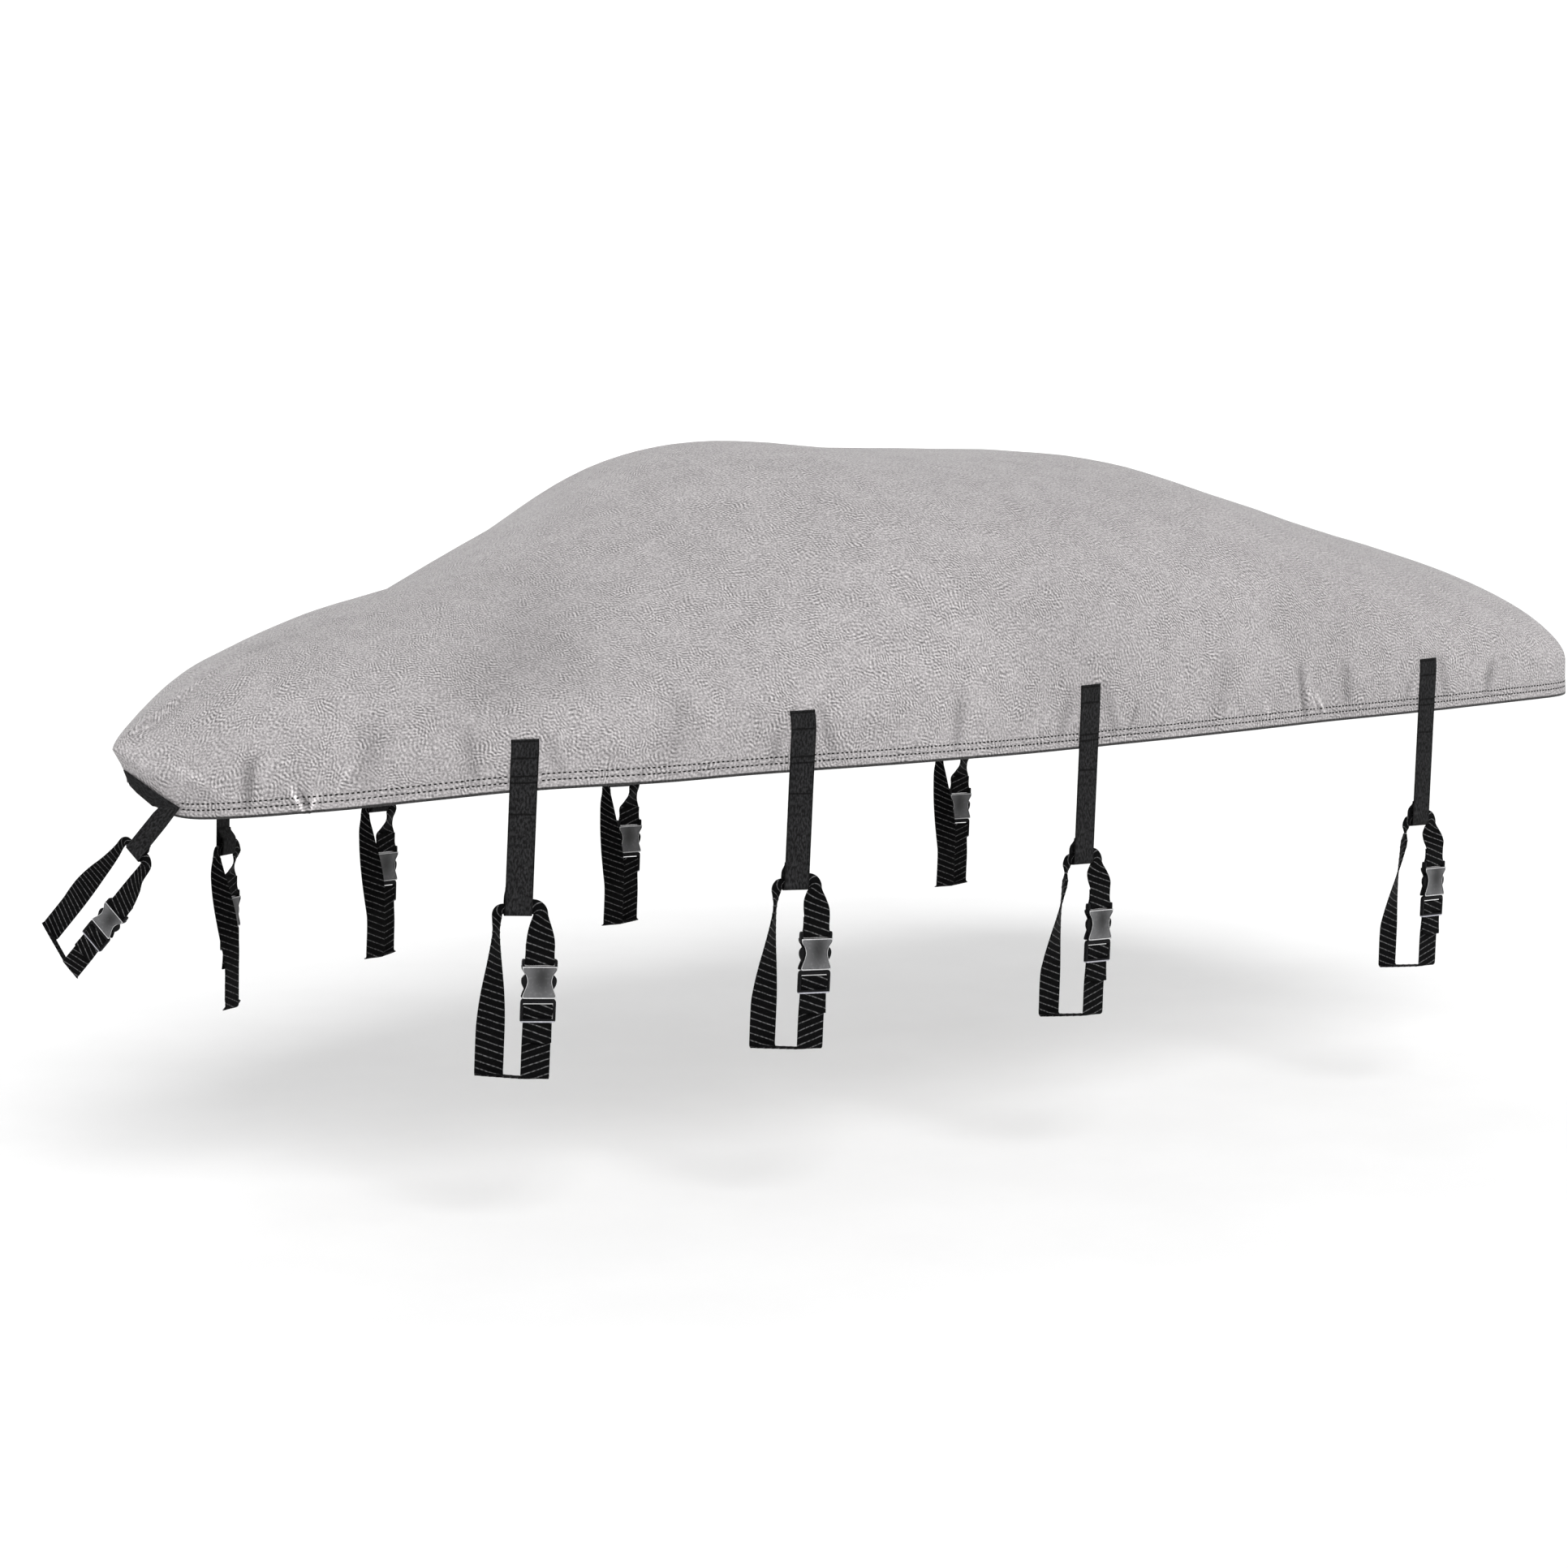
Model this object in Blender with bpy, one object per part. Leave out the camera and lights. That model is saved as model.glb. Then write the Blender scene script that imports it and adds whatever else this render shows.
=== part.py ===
"""A fitted boat cover as it sits on a small runabout: one hollow cloth shell with a sewn hem, four black
webbing straps a side, a bow strap, and a buckled webbing loop through the end of each strap.

Metres, +Z up. The bow points along -X and port is -Y. The origin is the place under the crown, on the
centreline, that the boat's windscreen or a support pole pushes up.
"""

import math
from dataclasses import dataclass
from typing import NamedTuple

import bmesh
import bpy
import numpy as np
from mathutils import Matrix, Vector

# ---------------------------------------------------------------- driving dimensions
BOW_X = -1.95
STERN_X = 2.755
CLOTH = 0.003
HEM_CLOTH = 0.0045
SEAM_GAP = 0.0006  # between pieces that are sewn face to face

# At each end the plan rounds off over its reach, and the cloth comes down over the same length.
NOSE_REACH = 0.42
NOSE_POWER = 1.9
TRANSOM_REACH = 0.36
TRANSOM_POWER = 2.7
# The hem rises at the nose, within about the reach of it, and is drawn in under it. The bow strap pulls
# the port side down, so the rise reaches further to starboard.
NOSE_LIFT = 0.085
NOSE_LIFT_REACH_PORT = 0.095
NOSE_LIFT_REACH_STARBOARD = 0.35
NOSE_TUCK = 0.050
NOSE_TUCK_REACH = 0.24
RIDGE_INSET_BOW = 0.46
RIDGE_INSET_STERN = 0.63
RIDGE_SPREAD = 0.22  # share of the ridge's spacing that follows the perimeter and not x

# skirt is the height of the upright cloth above the hem's edge; fullness is 2 for an ellipse.
STATION_COLUMNS = ("x", "half_beam", "hem_z", "skirt", "ridge_z", "fullness")
STATIONS = (
    (-1.95, 0.14, -0.853, 0.090, -0.558, 1.65),
    (-1.84, 0.249, -0.846, 0.093, -0.532, 1.60),
    (-1.62, 0.412, -0.819, 0.100, -0.475, 1.65),
    (-1.40, 0.555, -0.796, 0.105, -0.422, 1.75),
    (-1.20, 0.66, -0.780, 0.105, -0.375, 1.80),
    (-0.85, 0.82, -0.771, 0.105, -0.296, 1.65),
    (-0.45, 0.93, -0.765, 0.105, -0.141, 1.70),
    (-0.05, 0.98, -0.771, 0.105, -0.003, 2.10),
    (0.45, 1.00, -0.780, 0.105, -0.023, 2.40),
    (0.90, 1.00, -0.784, 0.105, -0.048, 2.40),
    (1.25, 1.00, -0.787, 0.105, -0.074, 2.40),
    (1.55, 1.00, -0.790, 0.105, -0.159, 2.40),
    (1.95, 0.99, -0.795, 0.105, -0.275, 2.35),
    (2.35, 0.98, -0.799, 0.105, -0.382, 2.10),
    (2.755, 0.96, -0.803, 0.100, -0.515, 1.55),
)

# Rows of the grid: shares of the skirt's height, then angles along the arc as shares of a right angle.
SKIRT_ROWS = (0.0, 0.5, 1.0)
HEM_ROWS = (0, 1)  # those of the turned and stitched hem, where the cloth is double
GUNWALE_ROW = len(SKIRT_ROWS) - 1
ARC_ROWS = (0.075, 0.14, 0.21, 0.29, 0.38, 0.48, 0.59, 0.71, 0.85, 1.0)
COLUMN_STEP = 0.098
NOSE_STEP = 0.045
NOSE_ZONE = 0.27
PLAN_STEPS = 3000
NEAR = 0.01  # the step either way that gives the hem's direction at a place


class Fold(NamedTuple):
    """A soft trough in the cloth. at is its place along the hem from the nose, port positive and starboard
    negative. rise is where along the arc it is deepest, and lean is how far it drifts aft as that grows."""

    at: float
    lean: float
    half_width: float
    rise: float
    half_rise: float
    depth: float


FOLDS = (
    Fold(1.05, 0.50, 0.22, 0.42, 0.30, 0.030),
    Fold(1.62, 0.10, 0.16, 0.05, 0.14, 0.010),
    Fold(2.75, -0.20, 0.24, 0.10, 0.20, 0.012),
    Fold(3.70, 0.15, 0.26, 0.12, 0.22, 0.014),
    Fold(-1.12, 0.50, 0.24, 0.40, 0.30, 0.028),
    Fold(-2.20, 0.15, 0.22, 0.10, 0.20, 0.012),
    Fold(-3.35, -0.10, 0.28, 0.12, 0.22, 0.013),
)

# Webbing and straps
WEB = 0.003
STRAP_WIDTH = 0.071
STRAP_PANEL = 0.090  # width of the flat strip of the shell's grid that carries a strap
STRAP_LEAN = 0.015  # how far a strap's lower end hangs towards the bow
END_LOOP_RADIUS = 0.0095
END_LOOP_HEIGHT = 0.072
LOOP_ANGLES = [math.pi * i / 8 for i in range(9)]
# Shares of the end loop's height at which its back leaves the straight and comes down on the strap.
LOOP_STRAIGHT = 0.62
LOOP_CLOSED = 0.90
LOOP_EASE = 0.001
LOOP_EASE_TURN = 0.12
HANGING_SHARES = (0.8, 0.5, 0.2)  # of a strap's drop, where its free length has stations


class SideStrap(NamedTuple):
    """rise goes from the hem's edge up to the strap's sewn end, and drop down to its loop."""

    x: float
    rise: float
    drop: float


STRAPS = (
    SideStrap(-1.185, 0.130, 0.313),
    SideStrap(-0.486, 0.155, 0.305),
    SideStrap(0.473, 0.170, 0.314),
    SideStrap(1.845, 0.154, 0.330),
)
BOW_STRAP_WIDTH = 0.050
BOW_STRAP_DROP = 0.175
BOW_STRAP_LEAN = math.radians(43)  # forwards from straight down
BOW_MITRE = 0.064  # across the corner where the bow strap turns down
BOW_MITRE_SLOPE = 0.05
BOW_HANGING = (0.045, 0.090, 0.125)  # below the corner, where the strap's free length has stations
BOW_CORNER_COLUMN = 3
BOW_STANDOFF = 0.0025  # between its fastened ends it stands off the cloth
BOW_SCALE = 0.80  # the bow's loop and buckle against those at the sides
BOW_END_LOOP_RADIUS = 0.0083

SIDES = (("port", -1.0), ("starboard", 1.0))


# ---------------------------------------------------------------- small helpers
def column(name):
    return np.array([row[STATION_COLUMNS.index(name)] for row in STATIONS], float)


def station(name, x):
    """A station's value at x, on a smooth curve through the table with slopes from the neighbours."""
    knots, values = column("x"), column(name)
    slopes = np.gradient(values, knots)
    x = np.clip(np.asarray(x, float), knots[0], knots[-1])
    i = np.clip(np.searchsorted(knots, x, side="right") - 1, 0, len(knots) - 2)
    step = knots[i + 1] - knots[i]
    t = (x - knots[i]) / step
    a = (1 + 2 * t) * (1 - t) ** 2
    b = t * (1 - t) ** 2 * step
    c = t**2 * (3 - 2 * t)
    d = t**2 * (t - 1) * step
    return a * values[i] + b * slopes[i] + c * values[i + 1] + d * slopes[i + 1]


# ---------------------------------------------------------------- the shell's surface
def end_share(x):
    """How far x is into either rounded end, 0 to 1, and that end's power."""
    nose = np.clip((BOW_X + NOSE_REACH - x) / NOSE_REACH, 0.0, 1.0)
    transom = np.clip((x - STERN_X + TRANSOM_REACH) / TRANSOM_REACH, 0.0, 1.0)
    return nose + transom, np.where(transom > 0, TRANSOM_POWER, NOSE_POWER)


def half_plan(x):
    """Half width of the hem at x."""
    share, power = end_share(x)
    return station("half_beam", x) * (1 - share**power) ** (1 / power)


def near_nose(x, y, reach):
    return np.exp(-((x - BOW_X) ** 2 + y**2) / reach**2)


def hem_z(x, y, side):
    reach = NOSE_LIFT_REACH_PORT if side < 0 else NOSE_LIFT_REACH_STARBOARD
    return station("hem_z", x) + NOSE_LIFT * near_nose(x, y, reach)


def cloth_z(x, y, side):
    """Height of the cloth's outer face above the skirt, y being the distance from the centreline."""
    share, power = end_share(x)
    across = y / station("half_beam", x)
    out = np.clip((across**power + share**power) ** (1 / power), 0.0, 1.0)
    fullness = station("fullness", x)
    foot = hem_z(x, y, side) + station("skirt", x)
    return foot + (station("ridge_z", x) - foot) * (1 - out**fullness) ** (1 / fullness)


def plan_line():
    """The hem's half outline, nose to the middle of the transom: distance along it, x and half width."""
    angle = np.linspace(0, math.pi, PLAN_STEPS + 1)
    x = (BOW_X + STERN_X) / 2 - (STERN_X - BOW_X) / 2 * np.cos(angle)
    y = half_plan(x)
    y[[0, -1]] = 0.0
    along = np.concatenate([[0], np.cumsum(np.hypot(np.diff(x), np.diff(y)))])
    return along, x, y


PLAN_ALONG, PLAN_X, PLAN_Y = plan_line()
HALF_HEM = float(PLAN_ALONG[-1])


def along_at(x):
    """Distance along the hem, from the nose, at which it reaches x."""
    return float(np.interp(x, PLAN_X, PLAN_ALONG))


def fold_depth(along, side, rise):
    """How far the troughs push the cloth inwards, for places along the hem and rises on the arc."""
    depth = np.zeros(np.broadcast(along, rise).shape)
    for fold in FOLDS:
        if (fold.at > 0) == (side < 0):
            above = rise - fold.rise
            off = (along - abs(fold.at) - fold.lean * above) / fold.half_width
            depth += fold.depth * np.exp(-(off**2) - (above / fold.half_rise) ** 2)
    return depth


def shell_point(along, side, skirt_share, rise):
    """Points of the cloth's outer face. skirt_share is 0 at the hem's edge and 1 at the gunwale, and
    rise is 0 at the gunwale and 1 on the ridge. Arguments broadcast; xyz is the result's last axis."""
    along, skirt_share, rise = np.broadcast_arrays(along, skirt_share, rise)
    hem_x = np.interp(along, PLAN_ALONG, PLAN_X)
    hem_y = np.interp(along, PLAN_ALONG, PLAN_Y)
    ahead = np.minimum(along + NEAR, HALF_HEM)
    behind = np.maximum(along - NEAR, 0.0)
    run_x = np.interp(ahead, PLAN_ALONG, PLAN_X) - np.interp(behind, PLAN_ALONG, PLAN_X)
    run_y = np.interp(ahead, PLAN_ALONG, PLAN_Y) - np.interp(behind, PLAN_ALONG, PLAN_Y)
    run = np.hypot(run_x, run_y)
    out_x, out_y = -run_y / run, run_x / run

    ridge_bow, ridge_stern = BOW_X + RIDGE_INSET_BOW, STERN_X - RIDGE_INSET_STERN
    share = (1 - RIDGE_SPREAD) * (hem_x - BOW_X) / (STERN_X - BOW_X) + RIDGE_SPREAD * along / HALF_HEM
    ridge_x = ridge_bow + (ridge_stern - ridge_bow) * share
    power = 2 / station("fullness", 0.5 * (hem_x + ridge_x))
    inward = 1 - np.cos(rise * math.pi / 2) ** power
    upward = np.sin(rise * math.pi / 2)
    x = hem_x + (ridge_x - hem_x) * inward
    y = hem_y * (1 - inward)
    skirt_z = hem_z(hem_x, hem_y, side) + skirt_share * station("skirt", hem_x)
    z = np.where(rise > 0, cloth_z(x, y, side), skirt_z)

    depth = fold_depth(along, side, rise)
    tuck = NOSE_TUCK * (1 - skirt_share) * near_nose(hem_x, hem_y, NOSE_TUCK_REACH)
    x = x - (depth * (1 - upward) + tuck) * out_x
    y = y - (depth * (1 - upward) + tuck) * out_y
    z = z - depth * upward
    return np.stack([x, side * y, z], axis=-1)


def hem_columns():
    """Places along the half hem of the grid's columns: evenly spaced but finer at the nose, with a flat
    panel at each strap."""
    edges = [0.0, NOSE_ZONE]
    for strap in STRAPS:
        middle = along_at(strap.x)
        edges += [middle - STRAP_PANEL / 2, middle + STRAP_PANEL / 2]
    edges.append(HALF_HEM)
    places = [0.0]
    for start, end in zip(edges, edges[1:]):
        step = COLUMN_STEP if start else NOSE_STEP
        pieces = max(1, round((end - start) / step))
        places += [start + (end - start) * (i + 1) / pieces for i in range(pieces)]
    return np.array(places)


ROWS = [(share, 0.0) for share in SKIRT_ROWS] + [(1.0, rise) for rise in ARC_ROWS]


def shell_grid(side):
    """The grid of one side: [column][row] points, from the nose to the transom and the hem to the ridge."""
    along = hem_columns()[:, None]
    shares = np.array([row[0] for row in ROWS])[None, :]
    rises = np.array([row[1] for row in ROWS])[None, :]
    return shell_point(along, side, shares, rises)


# ---------------------------------------------------------------- materials
def material(name, colour, roughness, metallic=0.0):
    made = bpy.data.materials.new(name)
    made.use_nodes = True
    shader = made.node_tree.nodes["Principled BSDF"]
    shader.inputs["Base Color"].default_value = (*colour, 1.0)
    shader.inputs["Roughness"].default_value = roughness
    shader.inputs["Metallic"].default_value = metallic
    made.diffuse_color = (*colour, 1.0)
    return made


def make_materials():
    return {
        "cloth": material("cover_cloth", (0.46, 0.44, 0.44), 0.85),
        "webbing": material("webbing", (0.022, 0.022, 0.022), 0.8),
        "plastic": material("buckle_plastic", (0.035, 0.035, 0.037), 0.4),
    }


# ---------------------------------------------------------------- mesh building
def object_from(name, mesh, finish):
    made = bpy.data.objects.new(name, mesh)
    bpy.context.scene.collection.objects.link(made)
    if not mesh.materials:
        mesh.materials.append(finish)
    return made


def mesh_from(name, points, faces):
    mesh = bpy.data.meshes.new(name)
    mesh.from_pydata([tuple(p) for p in points], [], faces)
    shape = bmesh.new()
    shape.from_mesh(mesh)
    bmesh.ops.recalc_face_normals(shape, faces=shape.faces)
    shape.to_mesh(mesh)
    shape.free()
    mesh.validate()
    mesh.update()
    return mesh


def make_shell(finish):
    """The cloth: both sides' grids joined along the nose, the transom and the ridge, then thickened."""
    port, starboard = shell_grid(-1.0), shell_grid(1.0)
    columns, rows = port.shape[:2]
    points, index, thickness = [], {}, []
    for side, grid in ((0, port), (1, starboard)):
        for i in range(columns):
            for j in range(rows):
                shared = side == 1 and (i in (0, columns - 1) or j == rows - 1)
                if shared:
                    index[side, i, j] = index[0, i, j]
                else:
                    index[side, i, j] = len(points)
                    points.append(grid[i, j])
                    thickness.append(HEM_CLOTH if j in HEM_ROWS else CLOTH)
    faces = []
    for side in (0, 1):
        for i in range(columns - 1):
            for j in range(rows - 1):
                corners = [(i, j), (i + 1, j), (i + 1, j + 1), (i, j + 1)]
                face = [index[side, a, b] for a, b in corners]
                faces.append(face if side == 0 else face[::-1])
    mesh = mesh_from("cover", points, faces)
    if sum(p.normal.z * p.area for p in mesh.polygons) < 0:
        mesh.flip_normals()
    cover = object_from("cover", mesh, finish)
    group = cover.vertex_groups.new(name="thickness")
    for k, thick in enumerate(thickness):
        group.add([k], thick / HEM_CLOTH, "REPLACE")
    solid = cover.modifiers.new("cloth", "SOLIDIFY")
    solid.thickness = HEM_CLOTH
    solid.offset = -1.0
    solid.vertex_group = group.name
    mesh.shade_smooth()


def ribbon(name, stations):
    """A closed strip of webbing. Each station is (centre, half width vector, half thickness vector)."""
    points, faces = [], []
    for centre, across, out in stations:
        points += [centre - across - out, centre + across - out, centre + across + out, centre - across + out]
    for k in range(len(stations) - 1):
        a, b = 4 * k, 4 * (k + 1)
        faces += [[a + i, a + (i + 1) % 4, b + (i + 1) % 4, b + i] for i in range(4)]
    last = 4 * (len(stations) - 1)
    faces += [[3, 2, 1, 0], [last, last + 1, last + 2, last + 3]]
    return mesh_from(name, points, faces)


def unit(vector):
    return Vector(vector).normalized()


# ---------------------------------------------------------------- straps sewn to the shell
def strap_frame(side, x):
    """Where a strap leaves the hem: its middle, and unit vectors along the hem to the stern and inboard."""
    grid = shell_grid(side)
    places = hem_columns()
    left = int(np.argmin(abs(places - (along_at(x) - STRAP_PANEL / 2))))
    a, b = Vector(grid[left, 0]), Vector(grid[left + 1, 0])
    run = unit((b - a).to_2d().to_3d())
    inboard = Vector((run.y, -run.x, 0)) * side
    return left, (a + b) / 2, run, inboard


def end_loop_stations(bottom, half, inboard, up, radius, height):
    """The strap's end folded back inboard into a loop, from its lowest part round and up to its seam."""
    meet = WEB + SEAM_GAP
    turn = [(radius - radius * math.cos(a), radius - radius * math.sin(a), a) for a in LOOP_ANGLES]
    turn.append((2 * radius, height * LOOP_STRAIGHT, math.pi))
    turn.append((meet + LOOP_EASE, height * LOOP_CLOSED, math.pi + LOOP_EASE_TURN))
    turn.append((meet, height, math.pi))
    found = []
    for inward, raised, angle in turn:
        out = -inboard * math.cos(angle) - up * math.sin(angle)
        found.append((bottom + inboard * inward + up * raised, half, out * WEB / 2))
    return found


def make_side_strap(name, side, x, rise, drop, finish):
    """Webbing on the shell's flat panel, hanging from the hem and folded into a loop at its lower end."""
    left, hem_middle, run, inboard = strap_frame(side, x)
    grid = shell_grid(side)
    lift = SEAM_GAP + WEB / 2
    stations = []
    foot, gunwale, above = (grid[left, row, 2] for row in (0, GUNWALE_ROW, GUNWALE_ROW + 1))
    top_share = (foot + rise - gunwale) / (above - gunwale)
    for row in range(GUNWALE_ROW + 1, -1, -1):
        a, b = Vector(grid[left, row]), Vector(grid[left + 1, row])
        above = (Vector(grid[left, row + 1]) + Vector(grid[left + 1, row + 1])) / 2
        below = (Vector(grid[left, max(row - 1, 0)]) + Vector(grid[left + 1, max(row - 1, 0)])) / 2
        out = unit((above - below).cross(b - a))
        if row == GUNWALE_ROW + 1:
            a = Vector(grid[left, row - 1]).lerp(a, top_share)
            b = Vector(grid[left + 1, row - 1]).lerp(b, top_share)
            out = unit(((a + b) / 2 - below).cross(b - a))
        if out.dot(inboard) > 0:
            out = -out
        across = unit(b - a) * STRAP_WIDTH / 2
        stations.append(((a + b) / 2 + out * lift, across, out * WEB / 2))
    up = unit(Vector((0, 0, drop)) + run * STRAP_LEAN)
    half = (run - up * run.dot(up)).normalized() * STRAP_WIDTH / 2
    bottom = hem_middle - inboard * lift - up * drop
    for share in HANGING_SHARES:
        stations.append((bottom + up * drop * share, half, -inboard * WEB / 2))
    stations += end_loop_stations(bottom, half, inboard, up, END_LOOP_RADIUS, END_LOOP_HEIGHT)
    object_from(name, ribbon(name, stations), finish)
    return bottom, half.normalized(), up.cross(half).normalized(), up


def make_bow_strap(finish):
    """Webbing sewn round the nose along the hem, turned down at a mitred corner to its looped end.
    Gives the lower end's place and its axes across the webbing, inboard and up along it."""
    places = hem_columns()
    half_width = BOW_STRAP_WIDTH / 2
    lift = SEAM_GAP + WEB / 2
    stations = []
    for k in range(BOW_CORNER_COLUMN + 1):
        foot = Vector(shell_point(places[k], -1.0, 0.0, 0.0))
        top = Vector(shell_point(places[k], -1.0, 1.0, 0.0))
        after = Vector(shell_point(places[k] + NEAR, -1.0, 0.0, 0.0))
        before = Vector(shell_point(max(places[k] - NEAR, 0.0), -1.0, 0.0, 0.0))
        run, rise = unit(after - before), unit(top - foot)
        out = unit(run.cross(rise))
        across = unit(rise - run * rise.dot(run))
        off = lift + (BOW_STANDOFF if k else 0.0)
        stations.append((foot + across * half_width + out * off, across * half_width, out * WEB / 2))
    corner, across, out = stations.pop()
    out = unit(out.to_2d().to_3d())
    aft = unit(Vector((-out.y, out.x, 0)))
    up = Vector((0, 0, 1))
    stations.append((corner, (aft + up * BOW_MITRE_SLOPE) * BOW_MITRE / 2, out * WEB / 2))
    hang = -(aft * math.sin(BOW_STRAP_LEAN) + up * math.cos(BOW_STRAP_LEAN))
    side = aft * math.cos(BOW_STRAP_LEAN) - up * math.sin(BOW_STRAP_LEAN)
    for down in BOW_HANGING:
        stations.append((corner + hang * down, side * half_width, out * WEB / 2))
    bottom = corner + hang * BOW_STRAP_DROP
    height = END_LOOP_HEIGHT * BOW_SCALE
    stations += end_loop_stations(bottom, side * half_width, -out, -hang, BOW_END_LOOP_RADIUS, height)
    object_from("strap_bow", ribbon("strap_bow", stations), finish)
    return bottom, side, -out, -hang


# ---------------------------------------------------------------- the buckled webbing loop
# Local axes of a loop: x along the strap's width, y inboard, z up, from the strap's lowest point.
@dataclass(frozen=True)
class LoopShape:
    """front_x and back_x are the strands' sideways places, the front one being the buckle's; rail_z is
    the upper face of the rail that the loop goes round; foot is the height of the buckle's lower end."""

    front_x: float
    back_x: float
    rail_z: float
    foot: float


SIDE_LOOP = LoopShape(front_x=0.057, back_x=-0.050, rail_z=-0.312, foot=-0.268)
BOW_LOOP = LoopShape(front_x=0.083, back_x=-0.075, rail_z=-0.350, foot=-0.315)
RAIL_WIDTH = 0.056
RAIL_HEIGHT = 0.100
RAIL_BEND = 0.008
# Where it passes through the strap's end the webbing is gathered: taller and thinner at its front end.
TUNNEL_FOOT = WEB / 2 + 0.0021
TUNNEL_BACK = (0.026, 0.0080)  # width and thickness
TUNNEL_FRONT = (0.038, 0.0058)
TUNNEL_TURN = 0.002  # from the turn's centre to the webbing's nearer edge
TUNNEL_END = STRAP_WIDTH / 2 + 0.002
LOOP_WIDTH = 0.074

BUCKLE_WIDTH = 0.090
BUCKLE_THICK = 0.020
WAIST_HALF = 0.0305
LADDER_LENGTH = 0.060
LADDER_THICK = 0.010
BODY_LENGTH = 0.100
RAIL_BAR = 0.0065  # width of the ladder's side rails
BUCKLE_Y = -0.0092  # its middle plane
BAR_BOTTOM = (0.0, 0.009)
BAR_MIDDLE = (0.024, 0.0405)
BAR_TOP = (0.049, 0.060)
LAYER = 0.0039  # the loaded webbing behind the ladder
WRAP = 0.00415  # radius of the webbing's bend round the middle bar
TAIL = 0.052
BODY_GAP = 0.0012  # between the ladder and the body
BODY_FOOT = LADDER_LENGTH + BODY_GAP
BODY_HEAD = BODY_FOOT + BODY_LENGTH
HOLD_BAR = 0.010  # height of the bar in the body's head
HOLD_SLOT = 0.018
HOLD_THICK = 0.0052
SEWN_FOOT = 0.012  # above the buckle, where the webbing's sewn end begins
SEWN_LENGTH = 0.038
HOLD_BEND = HOLD_THICK / 2 + 0.0004 + WEB / 2


def in_buckle(shape, depth, height):
    """A point on the buckle's middle line, in the loop's frame."""
    return Vector((shape.front_x, BUCKLE_Y + depth, shape.foot + height))


def flat(centre, width=LOOP_WIDTH, thick=WEB, out=(0, -1, 0), across=(1, 0, 0)):
    return Vector(centre), Vector(across) * width / 2, unit(out) * thick / 2


def strand_over_hold_bar(shape):
    """From the sewn end, down behind the bar in the buckle's head, round it and up in front."""
    bar_foot = BODY_HEAD - HOLD_BAR
    sewn = WEB / 2 + SEAM_GAP / 2
    found = [
        flat(in_buckle(shape, sewn, BODY_HEAD + SEWN_LENGTH), out=(0, 1, 0)),
        flat(in_buckle(shape, sewn, BODY_HEAD + SEWN_FOOT), out=(0, 1, 0)),
        flat(in_buckle(shape, HOLD_BEND, BODY_HEAD), out=(0, 1, 0)),
    ]
    for i in range(7):
        a = math.pi * i / 6
        place = in_buckle(shape, HOLD_BEND * math.cos(a), bar_foot - HOLD_BEND * math.sin(a))
        found.append(flat(place, out=(0, math.cos(a), -math.sin(a))))
    found.append(flat(in_buckle(shape, -HOLD_BEND, BODY_HEAD)))
    found.append(flat(in_buckle(shape, -sewn, BODY_HEAD + SEWN_FOOT)))
    found.append(flat(in_buckle(shape, -sewn, BODY_HEAD + SEWN_LENGTH)))
    return found


def turn_x(sign, size):
    """Sideways place at which a gathered turn ends in a hanging strand."""
    return sign * (TUNNEL_END + size[0] / 2 + TUNNEL_TURN)


def gathered_turn(sign, size, steps=5):
    """The webbing turning between the tunnel, where it runs along x, and a strand that hangs."""
    width, thick = size
    radius = width / 2 + TUNNEL_TURN
    found = []
    for i in range(steps + 1):
        a = math.pi / 2 * i / steps
        x = sign * (TUNNEL_END + radius * math.sin(a))
        z = TUNNEL_FOOT - TUNNEL_TURN + radius * math.cos(a)
        across = (sign * math.sin(a), 0, math.cos(a))
        found.append(flat((x, END_LOOP_RADIUS, z), width, thick, across=across))
    return found


class Hang(NamedTuple):
    """A station of a hanging strand. down is a share of the way to the rail, and sideways is 0 where the
    gathered turn ends and 1 at the strand's own place. twist is in degrees."""

    down: float
    y: float
    sideways: float
    width: float
    thick: float
    twist: float


BACK_STRAND = (
    Hang(0.128, 0.0130, 0.0, 0.036, 0.0070, 58),
    Hang(0.272, 0.0210, 0.2, 0.048, 0.0050, 50),
    Hang(0.449, 0.0330, 0.6, 0.060, 0.0036, 37),
    Hang(0.641, 0.0450, 0.9, 0.069, 0.0030, 22),
    Hang(0.817, 0.0535, 1.0, 0.073, 0.0030, 9),
    Hang(0.962, 0.0580, 1.0, 0.074, 0.0030, 0),
)
FRONT_STRAND = (
    Hang(0.083, 0.0050, 0.1, 0.050, 0.0046, -12),
    Hang(0.154, -0.0030, 0.5, 0.062, 0.0036, -7),
)


def strand(rows, shape, start_x, end_x):
    found = []
    for row in rows:
        turn = Matrix.Rotation(math.radians(row.twist), 3, "Z")
        out, across = turn @ Vector((0, -1, 0)), turn @ Vector((1, 0, 0))
        x = start_x + (end_x - start_x) * row.sideways
        found.append(flat((x, row.y, shape.rail_z * row.down), row.width, row.thick, out, across))
    return found


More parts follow.
